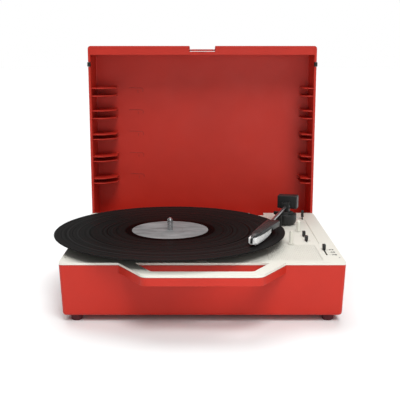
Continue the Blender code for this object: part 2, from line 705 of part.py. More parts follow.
# ---- Lid, built shut round its hinge axis and turned open by its parent -----------------
def fin_outline(side, length, slope):
    """A fin seen along Y: its wall end, its edge near the rim and its root in the panel."""
    wall = HALF_WIDTH - LID_WALL / 2
    tip = HALF_WIDTH - LID_WALL - length
    flat = HALF_WIDTH - LID_WALL - length * FIN_FLAT_SHARE
    near = LID_RIM + FIN_RECESS
    root = LID_TOP - LID_WALL / 2
    wall_root = wall - LID_HEIGHT * math.tan(DRAFT)
    points = [(wall, near), (wall_root, root), (tip, root), (tip, near + slope), (flat, near)]
    return [(x * side, z) for x, z in points]


def fin_places():
    """Distance of each fin's middle from the hinge axis, lid shut."""
    for pair in range(FIN_PAIRS):
        slot = FIN_SLOT_NARROW if pair < FIN_NARROW_PAIRS else FIN_SLOT_WIDE
        middle = HINGE_DROP + FIN_FIRST + FIN_PITCH * pair
        yield middle - slot / 2
        yield middle + slot / 2


def make_lid(hinge):
    lean = LID_HEIGHT * math.tan(DRAFT)
    mesh = open_box_mesh("lid_shell", HALF_WIDTH, LID_FRONT, HINGE_INSET,
                         LID_RIM, LID_TOP, lean)
    lid = add_piece("lid_shell", mesh, RED, hinge)
    shell(lid, LID_WALL)
    inside = LID_WALL * 0.6
    lip = box_mesh("lid_lip", (-HALF_WIDTH + inside, LID_FRONT + inside, LID_RIM),
                   (HALF_WIDTH - inside, LID_FRONT + LID_LIP, LID_RIM + LID_LIP_THICKNESS))
    unite(lid, lip, hinge)
    block = LATCH_SLOT_WIDTH / 2 + LID_WALL
    unite(lid, box_mesh("latch_housing", (-block, LID_FRONT + LID_WALL / 2, LID_RIM),
                        (block, LID_FRONT + LATCH_SLOT_DEPTH + LID_WALL,
                         LID_TOP - LID_WALL / 2)), hinge)
    fins = []
    for side, length, slope in ((-1, FIN_LENGTH_LEFT, FIN_SLOPE_LEFT),
                                (1, FIN_LENGTH_RIGHT, FIN_SLOPE_RIGHT)):
        for number, place in enumerate(fin_places()):
            upright = Matrix.Translation((0, -place, 0)) @ Matrix.Rotation(
                math.radians(90), 4, "X")
            fins.append(outline_mesh(f"fin_{side}_{number}",
                                     [fin_outline(side, length, slope)],
                                     FIN_THICKNESS, upright))
    unite(lid, joined_mesh("fins", fins), hinge)
    slot = LATCH_SLOT_WIDTH / 2
    cut(lid, box_mesh("latch_channel", (-slot, LID_FRONT - 0.01, LID_RIM - 0.01),
                      (slot, LID_FRONT + LATCH_SLOT_DEPTH, LID_TOP + 0.01)), hinge)
    along_x = Matrix.Rotation(math.radians(90), 4, "Y")
    swing = math.hypot(HINGE_INSET, HINGE_DROP) + LID_SWING_GAP
    cut(lid, cylinder_mesh("swing_relief", swing, -HALF_WIDTH - 0.01, HALF_WIDTH + 0.01,
                           sides=64, turn=along_x), hinge)
    for side in (-1, 1):
        low, high = bumper_box(side, SEAM)
        cut(lid, box_mesh(f"bumper_pocket_{side}", low, high), hinge)
        pivot = latch_axis()
        cut(lid, cylinder_mesh(f"latch_pivot_hole_{side}", LATCH_PIN_RADIUS + SEAM,
                               slot - 0.001, slot + 0.002, sides=12,
                               turn=Matrix.Translation(pivot) @ Matrix.Rotation(
                                   math.radians(90 * side), 4, "Y")), hinge)


def bumper_box(side, growth=0.0):
    """Corners of a rubber bumper at the lid's rim; growth makes its pocket."""
    outer = side * (HALF_WIDTH + BUMPER_PROUD + growth)
    inner = side * (HALF_WIDTH + BUMPER_PROUD - BUMPER_SIZE.x - growth)
    middle = LID_FRONT + BUMPER_FROM_FRONT
    half = BUMPER_SIZE.y / 2 + growth
    bottom = LID_RIM - (0.01 if growth else 0)
    return ((min(inner, outer), middle - half, bottom),
            (max(inner, outer), middle + half, LID_RIM + BUMPER_SIZE.z + growth))


def make_bumpers(hinge):
    for name, side in (("lid_bumper_left", -1), ("lid_bumper_right", 1)):
        bumper = add_piece(name, box_mesh(name, *bumper_box(side)), RUBBER, hinge)
        bevel(bumper, BUMPER_ROUND, 2)


def latch_axis():
    return Vector((0, LID_FRONT + LATCH_SUNK + LATCH_THICKNESS / 2,
                   LID_RIM + LATCH_LENGTH - LATCH_THICKNESS / 2))


def make_latch(hinge):
    pivot = add_empty("latch_pivot", latch_axis(), parent=hinge)
    half = LATCH_THICKNESS / 2
    width = LATCH_WIDTH / 2
    bottom = -(LATCH_LENGTH - half) + SEAM
    plate = box_mesh("latch_tab", (-width, -half, bottom), (width, half, half))
    latch = add_piece("latch_tab", plate, RED, pivot)
    tongue = LATCH_TONGUE_WIDTH / 2
    unite(latch, box_mesh("latch_tongue", (-tongue, -half * 0.5, bottom - LATCH_TONGUE),
                          (tongue, half * 0.5, bottom + 0.001)), pivot)
    along_x = Matrix.Rotation(math.radians(90), 4, "Y")
    reach = LATCH_SLOT_WIDTH / 2 + LATCH_PIN_GRIP
    unite(latch, cylinder_mesh("latch_pins", LATCH_PIN_RADIUS, -reach, reach, sides=12,
                               turn=along_x), pivot)


def make_hinges(hinge):
    """Steel brackets in the base, steel arms on the lid and a pin through each pair."""
    along_x = Matrix.Rotation(math.radians(90), 4, "Y")
    half = HINGE_ARM_WIDTH / 2
    knuckle = HINGE_PIN_RADIUS + HINGE_ARM_THICKNESS * 0.7
    for side, x in HINGE_SIDES.items():
        leg_back = HINGE_LEG_BACK
        leg_front = leg_back - HINGE_ARM_THICKNESS
        name = "hinge_arm_" + side
        arm = add_piece(name, cylinder_mesh(name, knuckle, -half, half, sides=16,
                                            turn=along_x), STEEL, hinge, (x, 0, 0))
        leg = box_mesh(name + "_leg", (-half, leg_front, -HINGE_PIN_RADIUS * 0.5),
                       (half, leg_back, HINGE_ARM_REACH))
        foot = box_mesh(name + "_web", (-half, 0, -knuckle * 0.6),
                        (half, leg_back, knuckle * 0.6))
        for mesh in (leg, foot):
            mesh.transform(Matrix.Translation((x, 0, 0)))
            unite(arm, mesh, hinge)
        bore = cylinder_mesh(name + "_bore", HINGE_PIN_RADIUS + SPINDLE_FIT, -half - CUT_PAST,
                             half + CUT_PAST, sides=16, turn=along_x)
        bore.transform(Matrix.Translation((x, 0, 0)))
        cut(arm, bore, hinge)
        ear = half + HINGE_PLAY + SEAM
        name = "hinge_pin_" + side
        pin = add_piece(name, cylinder_mesh(name, HINGE_PIN_RADIUS, -ear - PIN_PAST_EAR,
                                            ear + PIN_PAST_EAR, sides=16, turn=along_x), STEEL)
        pin.location = (x, HINGE_Y, HINGE_Z)
        make_hinge_bracket(side, x, ear)


def make_hinge_bracket(side, x, ear):
    back = HALF_DEPTH - BASE_WALL - BASE_RIM * math.tan(DRAFT) - BRACKET_GAP
    floor = HINGE_STOP_Z - BRACKET_BELOW_POCKET
    bottom = floor - BRACKET_LEG
    front = HINGE_Y - HINGE_PIN_RADIUS - BRACKET_METAL
    top = HINGE_Z + HINGE_PIN_RADIUS + BRACKET_METAL
    name = "hinge_bracket_" + side
    plate = box_mesh(name, (x - ear - BRACKET_SHEET, back - BRACKET_SHEET, bottom),
                     (x + ear + BRACKET_SHEET, back, floor))
    bracket = add_piece(name, plate, STEEL)
    for number, edge in enumerate((x - ear - BRACKET_SHEET, x + ear)):
        unite(bracket, box_mesh(f"{name}_ear_{number}", (edge, front, bottom),
                                (edge + BRACKET_SHEET, back, top)))
    turn = Matrix.Translation((x, HINGE_Y, HINGE_Z)) @ Matrix.Rotation(
        math.radians(90), 4, "Y")
    reach = ear + BRACKET_SHEET + CUT_PAST
    cut(bracket, cylinder_mesh(name + "_bore", HINGE_PIN_RADIUS + SPINDLE_FIT, -reach,
                               reach, sides=16, turn=turn))


# ---- Record, platter and drive -------------------------------------------------------------
def make_record(spin):
    top = DECK_TOP + RECORD_TOP
    hole = SPINDLE_RADIUS + SPINDLE_FIT
    middle = top - RECORD_THICKNESS / 2
    edge = RECORD_EDGE / 2
    profile = [(hole, top - LABEL_RECESS), (LABEL_RADIUS + SEAM, top - LABEL_RECESS),
               (LABEL_RADIUS + SEAM, top), (RECORD_RADIUS - RECORD_BEAD, top),
               (RECORD_RADIUS, middle + edge), (RECORD_RADIUS, middle - edge),
               (RECORD_RADIUS - RECORD_BEAD, RECORD_UNDERSIDE), (hole, RECORD_UNDERSIDE)]
    add_piece("record_disc", turned_mesh("record_disc", profile, 96, True), VINYL, spin)
    low = top - LABEL_RECESS + SEAM / 2
    ring = [(hole, low + LABEL_THICKNESS), (LABEL_RADIUS, low + LABEL_THICKNESS),
            (LABEL_RADIUS, low), (hole, low)]
    add_piece("record_label", turned_mesh("record_label", ring, 48, True), PAPER, spin)


def make_platter(spin):
    outer, wall = PLATTER_RADIUS, PLATTER_WALL
    low = DECK_TOP + PLATTER_ABOVE_DECK
    under = PLATTER_TOP - wall
    ring_low = BELT_BOTTOM - BELT_RING_BELOW
    ring = BELT_RING_RADIUS
    hole = SPINDLE_RADIUS + SPINDLE_FIT
    hub_low = DECK_TOP + BEARING_FLANGE_THICKNESS + SEAM * 2
    profile = [(hole, PLATTER_TOP), (outer - EDGE_BREAK, PLATTER_TOP), (outer, PLATTER_TOP - EDGE_BREAK),
               (outer, low), (outer - wall, low), (outer - wall, under), (ring, under),
               (ring, ring_low), (ring - wall, ring_low), (ring - wall, under),
               (PLATTER_HUB_RADIUS, under), (PLATTER_HUB_RADIUS, hub_low), (hole, hub_low)]
    add_piece("platter", turned_mesh("platter", profile, 64, True), BLACK, spin)
    mat = [(hole, MAT_TOP), (MAT_RADIUS, MAT_TOP), (MAT_RADIUS, MAT_TOP - MAT_THICKNESS),
           (hole, MAT_TOP - MAT_THICKNESS)]
    add_piece("slip_mat", turned_mesh("slip_mat", mat, 64, True), FELT, spin)


def make_spindle(spin):
    tip = DECK_TOP + RECORD_TOP + SPINDLE_ABOVE_RECORD
    radius = SPINDLE_RADIUS
    profile = [(0, tip)]
    for step in range(1, 4):
        angle = math.radians(30 * step)
        profile.append((radius * math.sin(angle), tip - radius * (1 - math.cos(angle))))
    bottom = DECK_TOP - SPINDLE_BELOW_DECK
    profile += [(radius, bottom + EDGE_BREAK), (radius - EDGE_BREAK, bottom), (0, bottom)]
    add_piece("spindle", turned_mesh("spindle", profile, 24), STEEL, spin)


def make_bearing():
    top = DECK_TOP + BEARING_FLANGE_THICKNESS
    inner = SPINDLE_RADIUS + SPINDLE_FIT
    bottom = DECK_TOP - SPINDLE_BELOW_DECK + SPINDLE_PAST_BEARING
    profile = [(inner, top), (BEARING_FLANGE, top), (BEARING_FLANGE, DECK_TOP + SEAM),
               (BEARING_RADIUS, DECK_TOP + SEAM), (BEARING_RADIUS, bottom), (inner, bottom)]
    bearing = add_piece("spindle_bearing", turned_mesh("spindle_bearing", profile, 24, True),
                        BRASS)
    bearing.location = (SPIN_X, SPIN_Y, 0)


def make_motor():
    top = DECK_UNDERSIDE - MOTOR_BELOW_DECK
    bottom = top - MOTOR_HEIGHT
    profile = [(0, top), (MOTOR_RADIUS - EDGE_BREAK, top), (MOTOR_RADIUS, top - EDGE_BREAK),
               (MOTOR_RADIUS, bottom), (0, bottom)]
    motor = add_piece("motor", turned_mesh("motor", profile, 32), STEEL)
    motor.location = (MOTOR_X, MOTOR_Y, 0)
    return top


def make_pulley(pulley_spin, motor_top):
    """A brass pulley on the motor's shaft, with the shaft end turned on it."""
    low, high = BELT_BOTTOM, BELT_BOTTOM + BELT_WIDTH
    flange = PULLEY_RADIUS + PULLEY_FLANGE
    step = PULLEY_STEP
    profile = [(0, high + PULLEY_RIM), (flange, high + PULLEY_RIM), (flange, high + step),
               (PULLEY_RADIUS, high + step), (PULLEY_RADIUS, low - step),
               (flange, low - step), (flange, low - PULLEY_RIM),
               (MOTOR_SHAFT_RADIUS * 2, low - PULLEY_RIM), (MOTOR_SHAFT_RADIUS * 2, motor_top + SEAM),
               (0, motor_top + SEAM)]
    add_piece("motor_pulley", turned_mesh("motor_pulley", profile, 24), BRASS, pulley_spin)


def belt_loop(growth):
    """Outline of a belt round the platter's ring and the pulley, from their tangents."""
    big = BELT_RING_RADIUS + BELT_GAP + growth
    small = PULLEY_RADIUS + BELT_GAP + growth
    lean = math.acos((big - small) / MOTOR_FROM_SPINDLE)
    points = []
    for step in range(41):
        angle = MOTOR_BEARING + lean + (2 * math.pi - 2 * lean) * step / 40
        points.append((SPIN_X + big * math.cos(angle), SPIN_Y + big * math.sin(angle)))
    for step in range(7):
        angle = MOTOR_BEARING - lean + 2 * lean * step / 6
        points.append((MOTOR_X + small * math.cos(angle), MOTOR_Y + small * math.sin(angle)))
    return points


def make_belt():
    middle = Matrix.Translation((0, 0, BELT_BOTTOM + BELT_WIDTH / 2))
    mesh = outline_mesh("drive_belt", [belt_loop(BELT_THICKNESS), belt_loop(0)],
                        BELT_WIDTH, middle)
    add_piece("drive_belt", mesh, RUBBER)


# ---- Tonearm, built along -Y from its pivot and turned by its parents ----------------------
def make_pedestal():
    low = DECK_TOP + SEAM
    top = DECK_TOP + PEDESTAL_HEIGHT
    profile = [(0, top), (PEDESTAL_RADIUS - PEDESTAL_ROUND, top),
               (PEDESTAL_RADIUS, top - PEDESTAL_ROUND)]
    for step in range(6):
        angle = math.radians(90 * step / 5)
        radius = PEDESTAL_FOOT_RADIUS + (PEDESTAL_RADIUS - PEDESTAL_FOOT_RADIUS) * math.cos(angle)
        profile.append((radius, low + PEDESTAL_FLARE * (1 - math.sin(angle))))
    profile.append((0, low))
    pedestal = add_piece("arm_pedestal", turned_mesh("arm_pedestal", profile, 32), BLACK)
    pedestal.location = (ARM_X, ARM_Y, 0)


def make_yoke(swing):
    low = PEDESTAL_HEIGHT + SEAM - ARM_AXIS_HEIGHT
    plate_top = low + YOKE_PLATE
    yoke = add_piece("arm_yoke", cylinder_mesh("arm_yoke", YOKE_RADIUS, low, plate_top),
                     BLACK, swing)
    outer = YOKE_WIDTH / 2
    for side, edge in (("left", -outer), ("right", outer - YOKE_CHEEK)):
        unite(yoke, box_mesh("yoke_cheek_" + side,
                             (edge, -YOKE_DEPTH / 2, plate_top - YOKE_PLATE / 2),
                             (edge + YOKE_CHEEK, YOKE_DEPTH / 2, YOKE_ABOVE_AXIS)), swing)
    cut(yoke, pivot_bore("yoke_bore"), swing)


def pivot_bore(name):
    """Cutter for the hole of the lift pin, through the yoke and the neck."""
    along_x = Matrix.Rotation(math.radians(90), 4, "Y")
    return cylinder_mesh(name, PIVOT_PIN_RADIUS + SPINDLE_FIT, -YOKE_WIDTH, YOKE_WIDTH,
                         sides=12, turn=along_x)


def make_arm(lift):
    """Everything that lifts: neck, pin, weight, tube, headshell, cartridge and stylus."""
    inner = YOKE_WIDTH / 2 - YOKE_CHEEK - NECK_PLAY
    neck = add_piece("arm_neck", box_mesh("arm_neck", (-inner, -NECK_FRONT, -NECK_BELOW_AXIS),
                                          (inner, WEIGHT_START - SEAM, NECK_ABOVE_AXIS)),
                     BLACK, lift)
    cut(neck, pivot_bore("neck_bore"), lift)
    pin = YOKE_WIDTH / 2 + PIVOT_PIN_PROUD
    along_x = Matrix.Rotation(math.radians(90), 4, "Y")
    add_piece("arm_pivot_pin", cylinder_mesh("arm_pivot_pin", PIVOT_PIN_RADIUS, -pin, pin,
                                             sides=12, turn=along_x), STEEL, lift)
    half = WEIGHT_WIDTH / 2
    weight = add_piece("counterweight", box_mesh(
        "counterweight", (-half, WEIGHT_START, WEIGHT_BOTTOM - ARM_AXIS_HEIGHT),
        (half, WEIGHT_START + WEIGHT_DEPTH, WEIGHT_TOP - ARM_AXIS_HEIGHT)), BLACK, lift)
    bevel(weight, WEIGHT_ROUND, 2)
    start = -NECK_FRONT - SEAM
    end = -HEADSHELL_START - TUBE_IN_SHELL
    fall = TUBE_FALL / (HEADSHELL_START - NECK_FRONT)
    line = [(0, start, 0), (0, end, (end - start) * fall)]
    add_piece("arm_tube", rod_mesh("arm_tube", line, TUBE_RADIUS), STEEL, lift)
    socket = rod_mesh("tube_socket", [(0, start, 0), (0, end - SEAM, (end - start) * fall)],
                      TUBE_RADIUS + SEAM)
    make_headshell(lift, socket)


def make_headshell(lift, socket):
    """Headshell, cartridge and stylus, drawn forward along -Y from the shell's back."""
    turn = add_empty("headshell_turn", (HEADSHELL_SIDE, -HEADSHELL_START, 0),
                     (0, 0, -HEADSHELL_TURN), lift)
    front = -HEADSHELL_LENGTH
    low = HEADSHELL_BOTTOM - ARM_AXIS_HEIGHT
    wide, narrow = HEADSHELL_BACK_WIDTH / 2, HEADSHELL_FRONT_WIDTH / 2
    loop = [(-wide, -HEADSHELL_CHAMFER), (-wide * 0.7, 0), (wide * 0.45, 0),
            (wide, -HEADSHELL_CHAMFER), (narrow, front + HEADSHELL_NOSE),
            (narrow * 0.6, front), (-narrow * 0.6, front), (-narrow, front + HEADSHELL_NOSE)]
    middle = Matrix.Translation((0, 0, low + HEADSHELL_HEIGHT / 2))
    shell_mesh = outline_mesh("headshell", [loop], HEADSHELL_HEIGHT, middle)
    headshell = add_piece("headshell", shell_mesh, BLACK, turn)
    bevel(headshell, HEADSHELL_ROUND, 2, 50)
    cut(headshell, socket, lift)
    top = low - CARTRIDGE_TOP_GAP
    bottom = CARTRIDGE_BOTTOM - ARM_AXIS_HEIGHT
    begin, nose = -CARTRIDGE_START, -CARTRIDGE_END
    middle_height = (top + bottom) / 2
    side = [(begin, top), (nose, top), (nose, middle_height), (nose + CARTRIDGE_CHIN, bottom),
            (begin - CARTRIDGE_HEEL, bottom), (begin, middle_height)]
    upright = Matrix(((0, 0, 1, 0), (1, 0, 0, 0), (0, 1, 0, 0), (0, 0, 0, 1)))
    body = outline_mesh("cartridge", [side], CARTRIDGE_WIDTH, upright)
    cartridge = add_piece("cartridge", body, WHITE, turn)
    bevel(cartridge, CARTRIDGE_ROUND, 2)
    tip = RECORD_TOP + STYLUS_GAP - ARM_AXIS_HEIGHT
    stem_top = bottom - SEAM
    profile = [(0, stem_top), (STYLUS_RADIUS, stem_top),
               (STYLUS_RADIUS, stem_top - STYLUS_CONE), (0, tip)]
    add_piece("stylus", turned_mesh("stylus", profile, 12), STEEL, turn,
              (0, nose + STYLUS_BACK, 0))


def make_posts():
    rest = ARM_REST_RADIUS
    low = DECK_TOP + SEAM
    top = DECK_TOP + ARM_REST_HEIGHT
    profile = [(0, top), (rest * 0.72, top), (rest * 0.80, top - REST_ROUND),
               (rest, low + POST_FILLET), (rest * 1.5, low + POST_FOOT), (rest * 1.5, low), (0, low)]
    post = add_piece("arm_rest", turned_mesh("arm_rest", profile, 20), CREAM)
    post.location = (ARM_REST_X, ARM_REST_Y, 0)
    saddle_z = top + SADDLE_ABOVE_POST
    saddle = rod_mesh("rest_saddle", [(-2 * rest, 0, saddle_z), (2 * rest, 0, saddle_z)],
                      SADDLE_RADIUS)
    saddle.transform(Matrix.Rotation(math.radians(90), 4, "Z"))
    saddle.transform(Matrix.Translation((ARM_REST_X, ARM_REST_Y, 0)))
    cut(post, saddle)
    top = DECK_TOP + PEG_HEIGHT
    profile = [(0, top), (PEG_RADIUS * 0.6, top), (PEG_RADIUS, top - PEG_ROUND),
               (PEG_RADIUS, low + PEG_FILLET), (PEG_RADIUS * 1.6, low + PEG_FOOT),
               (PEG_RADIUS * 1.6, low), (0, low)]
    peg = add_piece("adaptor_peg", turned_mesh("adaptor_peg", profile, 20), CREAM)
    peg.location = (PEG_X, PEG_Y, 0)


def cue_stem_place():
    angle = (CUE_ARC_START + CUE_ARC_END) / 2
    return (ARM_X - CUE_ARC_RADIUS * math.sin(angle), ARM_Y - CUE_ARC_RADIUS * math.cos(angle))


def make_cue_lift():
    """A curved bar under the tube, on a stem that rises through the deck."""
    inner, outer = CUE_ARC_RADIUS - CUE_ARC_WIDTH / 2, CUE_ARC_RADIUS + CUE_ARC_WIDTH / 2
    steps = 8
    angles = [CUE_ARC_START + (CUE_ARC_END - CUE_ARC_START) * i / steps
              for i in range(steps + 1)]
    loop = [(-outer * math.sin(a), -outer * math.cos(a)) for a in angles]
    loop += [(-inner * math.sin(a), -inner * math.cos(a)) for a in reversed(angles)]
    bottom = DECK_TOP + CUE_ARC_BOTTOM
    middle = Matrix.Translation((0, 0, bottom + CUE_ARC_HEIGHT / 2))
    bar = add_piece("cue_lift", outline_mesh("cue_lift", [loop], CUE_ARC_HEIGHT, middle),
                    BLACK)
    bar.location = (ARM_X, ARM_Y, 0)
    unite(bar, cylinder_mesh("cue_stem", CUE_STEM_RADIUS, DECK_UNDERSIDE - CUE_STEM_BELOW,
                             bottom + CUE_ARC_HEIGHT / 2, cue_stem_place(), 12))


def make_cue_lever():
    pivot = add_empty("cue_lever_axis", (CUE_LEVER_X, CUE_LEVER_Y, DECK_TOP))
    half_x, half_y = CUE_LEVER_WIDTH / 2, CUE_LEVER_DEPTH / 2
    foot = STEM_WIDTH / 2
    stem = box_mesh("cue_lever", (-foot, -CUE_LEVER_STEM, -DECK_THICKNESS - EDGE_BREAK),
                    (foot, CUE_LEVER_STEM, CUE_LEVER_NECK))
    lever = add_piece("cue_lever", stem, BLACK, pivot)
    grip = box_mesh("cue_grip", (-half_x, -half_y, CUE_GRIP_START),
                    (half_x, half_y, CUE_LEVER_LENGTH))
    unite(lever, grip, pivot)


# ---- Slide controls -------------------------------------------------------------------------
def make_knob(name, x, y):
    low = DECK_TOP + SEAM
    half_x, half_y = KNOB_WIDTH / 2, KNOB_LENGTH / 2
    cap = box_mesh(name, (-half_x, -half_y, low), (half_x, half_y, low + KNOB_HEIGHT))
    knob = add_piece(name, cap, BLACK, None, (x, y, 0))
    bevel(knob, KNOB_ROUND, 1)
    stem = box_mesh(name + "_stem",
                    (x - STEM_WIDTH / 2, y - STEM_LENGTH / 2, DECK_UNDERSIDE - STEM_BELOW_DECK),
                    (x + STEM_WIDTH / 2, y + STEM_LENGTH / 2, low + STEM_IN_KNOB))
    unite(knob, stem)


def make_knobs():
    make_knob("volume_knob", SLIDE_X, VOLUME_Y)
    make_knob("auto_stop_knob", SLIDE_X, AUTO_STOP_Y)
    make_knob("speed_knob", SPEED_X, SPEED_Y)


# ---- Loudspeaker and electrics ---------------------------------------------------------------
def make_grille():
    top = DECK_TOP
    half_x, half_y = GRILLE_WIDTH / 2, GRILLE_DEPTH / 2
    plate = box_mesh("speaker_grille",
                     (SPEAKER_X - half_x, SPEAKER_Y - half_y, top - GRILLE_THICKNESS),
                     (SPEAKER_X + half_x, SPEAKER_Y + half_y, top))
    grille = add_piece("speaker_grille", plate, CREAM)
    pitch_x = GRILLE_WIDTH / GRILLE_COLUMNS
    pitch_y = GRILLE_DEPTH / GRILLE_ROWS
    holes = []
    for column in range(GRILLE_COLUMNS):
        for row in range(GRILLE_ROWS):
            x = SPEAKER_X - half_x + pitch_x * (column + 0.5)
            y = SPEAKER_Y - half_y + pitch_y * (row + 0.5)
            holes.append(cylinder_mesh(f"hole_{column}_{row}", GRILLE_HOLE_RADIUS,
                                       top - GRILLE_THICKNESS - EDGE_BREAK, top + EDGE_BREAK,
                                       (x, y), 6))
    cut(grille, joined_mesh("grille_holes", holes))


def make_speaker():
    """A steel basket with its magnet, and a paper cone inside its rim."""
    top = DECK_UNDERSIDE - SEAM
    sheet = SPEAKER_SHEET
    outer, throat = SPEAKER_RADIUS, SPEAKER_MAGNET_RADIUS
    rim = outer - SPEAKER_FLANGE
    shoulder = top - SPEAKER_SHOULDER
    waist = top - SPEAKER_DEPTH * 0.55
    bottom = top - SPEAKER_DEPTH
    profile = [(0, waist + sheet), (throat - sheet, waist + sheet), (rim, shoulder), (rim, top),
               (outer, top), (outer, top - sheet), (rim + sheet, top - sheet),
               (rim + sheet, shoulder), (throat, waist), (throat, bottom), (0, bottom)]
    frame = add_piece("speaker_frame", turned_mesh("speaker_frame", profile, 32), STEEL)
    frame.location = (SPEAKER_X, SPEAKER_Y, 0)
    cap = SPEAKER_CAP_RADIUS
    apex = waist + sheet + SPEAKER_CAP_SEAT
    edge, lip = rim - SEAM, top - SEAM
    profile = [(0, apex + SPEAKER_CAP_RISE), (cap * 0.7, apex + SPEAKER_CAP_RISE * 2 / 3),
               (cap, apex), (edge, lip),
               (edge, lip - SPEAKER_PAPER), (cap, apex - SPEAKER_PAPER),
               (0, apex - SPEAKER_PAPER)]
    cone = add_piece("speaker_cone", turned_mesh("speaker_cone", profile, 32), CONE_PAPER)
    cone.location = (SPEAKER_X, SPEAKER_Y, 0)


def make_boards():
    top = DECK_UNDERSIDE - BOARD_BELOW_DECK
    add_piece("control_board", box_mesh("control_board", (*CONTROL_BOARD[0], top - BOARD_THICKNESS),
                                        (*CONTROL_BOARD[1], top)), BOARD)
    add_piece("amplifier_board", box_mesh("amplifier_board", (*AMPLIFIER_BOARD[0], AMPLIFIER_Z),
                                          (*AMPLIFIER_BOARD[1], AMPLIFIER_Z + BOARD_THICKNESS)),
              BOARD)


def make_jacks():
    """Sockets through the back wall; their profile's heights run outward from the wall."""
    wall_y = HALF_DEPTH - (BASE_RIM - JACK_HEIGHT) * math.tan(DRAFT)
    low = SEAM * 2
    high = low + JACK_FLANGE_THICKNESS
    finishes = {"line_out_left": WHITE, "line_out_right": LINE_RED}
    for name, x in JACKS.items():
        line_out = name in finishes
        tip = low + JACK_PROUD if line_out else high + 0.0006
        floor = tip - JACK_BORE_DEPTH
        if name == "power_inlet":
            bore = JACK_INLET_BORE
            profile = [(0, tip - 0.002), (JACK_PIN_RADIUS, tip - 0.002),
                       (JACK_PIN_RADIUS, floor)]
        else:
            bore = JACK_BORE
            profile = [(0, floor)]
        profile += [(bore, floor), (bore, tip), (JACK_RADIUS, tip), (JACK_RADIUS, high),
                    (JACK_FLANGE_RADIUS, high), (JACK_FLANGE_RADIUS, low), (JACK_RADIUS, low),
                    (JACK_RADIUS, -JACK_INSIDE), (0, -JACK_INSIDE)]
        jack = add_piece(name, turned_mesh(name, profile, 16), finishes.get(name, BLACK))
        jack.location = (x, wall_y, JACK_HEIGHT)
        jack.rotation_euler = (math.radians(-90), 0, 0)


# ---- Assembly ------------------------------------------------------------------------------------
lid_hinge = add_empty("lid_hinge", (0, HINGE_Y, HINGE_Z), (math.radians(-90), 0, 0))
platter_spin = add_empty("platter_spin", (SPIN_X, SPIN_Y, 0))
pulley_spin = add_empty("pulley_spin", (MOTOR_X, MOTOR_Y, 0))
arm_swing = add_empty("arm_swing", (ARM_X, ARM_Y, DECK_TOP + ARM_AXIS_HEIGHT), (0, 0, -ARM_ANGLE))
arm_lift = add_empty("arm_lift", (0, 0, 0), parent=arm_swing)

make_base_shell()
make_deck_plate()
make_feet()
make_screws()
make_lid(lid_hinge)
make_bumpers(lid_hinge)
make_latch(lid_hinge)
make_hinges(lid_hinge)
make_record(platter_spin)
make_platter(platter_spin)
make_spindle(platter_spin)
make_bearing()
make_pulley(pulley_spin, make_motor())
make_belt()
make_pedestal()
make_yoke(arm_swing)
make_arm(arm_lift)
make_posts()
make_cue_lift()
make_cue_lever()
make_knobs()
make_grille()
make_speaker()
make_boards()
make_jacks()

for piece in PARTS.objects:
    if piece.type == "MESH":
        piece.data.shade_smooth()
        piece.data.set_sharp_from_angle(angle=math.radians(35))
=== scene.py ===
import json
import math
import bmesh
import bpy
from mathutils import Matrix, Vector


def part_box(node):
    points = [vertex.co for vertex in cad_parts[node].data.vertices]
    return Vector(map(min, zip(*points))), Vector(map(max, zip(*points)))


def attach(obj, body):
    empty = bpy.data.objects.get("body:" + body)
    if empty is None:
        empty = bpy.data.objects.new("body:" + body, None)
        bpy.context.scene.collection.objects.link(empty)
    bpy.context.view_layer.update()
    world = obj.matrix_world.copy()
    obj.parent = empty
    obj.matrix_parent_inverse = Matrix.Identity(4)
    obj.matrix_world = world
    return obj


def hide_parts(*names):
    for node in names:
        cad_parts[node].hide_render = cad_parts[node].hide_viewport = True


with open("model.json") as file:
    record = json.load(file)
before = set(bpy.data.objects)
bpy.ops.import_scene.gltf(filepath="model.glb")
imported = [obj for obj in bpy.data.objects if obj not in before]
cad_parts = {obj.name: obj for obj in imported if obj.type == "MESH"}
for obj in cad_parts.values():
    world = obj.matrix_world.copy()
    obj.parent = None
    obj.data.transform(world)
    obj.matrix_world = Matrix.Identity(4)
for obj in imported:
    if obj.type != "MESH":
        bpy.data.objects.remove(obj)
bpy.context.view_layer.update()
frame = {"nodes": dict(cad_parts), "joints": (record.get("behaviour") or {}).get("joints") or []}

nodes = frame["nodes"]
hinges = {joint["name"]: joint for joint in frame["joints"]}

# ---- Studio --------------------------------------------------------------------------------
# The player stands on a seamless white table. One soft lamp shines from high in front and one from
# high behind, a soft panel stands close in front, and the white room round them fills the
# shadows. None of these belong to the player.
camera = bpy.data.objects.new("camera", bpy.data.cameras.new("camera"))
camera.location = (0.0, -1.0037, 0.3120)
camera.rotation_euler = (math.radians(90 - 11.14), 0, 0)
camera.data.lens = 68.41
camera.data.sensor_width = 36.0
camera.data.shift_x = -0.0059
camera.data.clip_start = 0.01
bpy.context.scene.collection.objects.link(camera)
bpy.context.scene.camera = camera

foot_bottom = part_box("foot_front_left")[0].z


def add_object(name, mesh):
    item = bpy.data.objects.new(name, mesh)
    bpy.context.scene.collection.objects.link(item)
    return item


def mesh_of(name, points, faces):
    mesh = bpy.data.meshes.new(name)
    mesh.from_pydata([tuple(point) for point in points], [], faces)
    mesh.update()
    return mesh


TABLE_HALF = 12.0
table = add_object("table", mesh_of("table", [
    (-TABLE_HALF, -TABLE_HALF, foot_bottom), (TABLE_HALF, -TABLE_HALF, foot_bottom),
    (TABLE_HALF, TABLE_HALF, foot_bottom), (-TABLE_HALF, TABLE_HALF, foot_bottom)],
    [(0, 1, 2, 3)]))


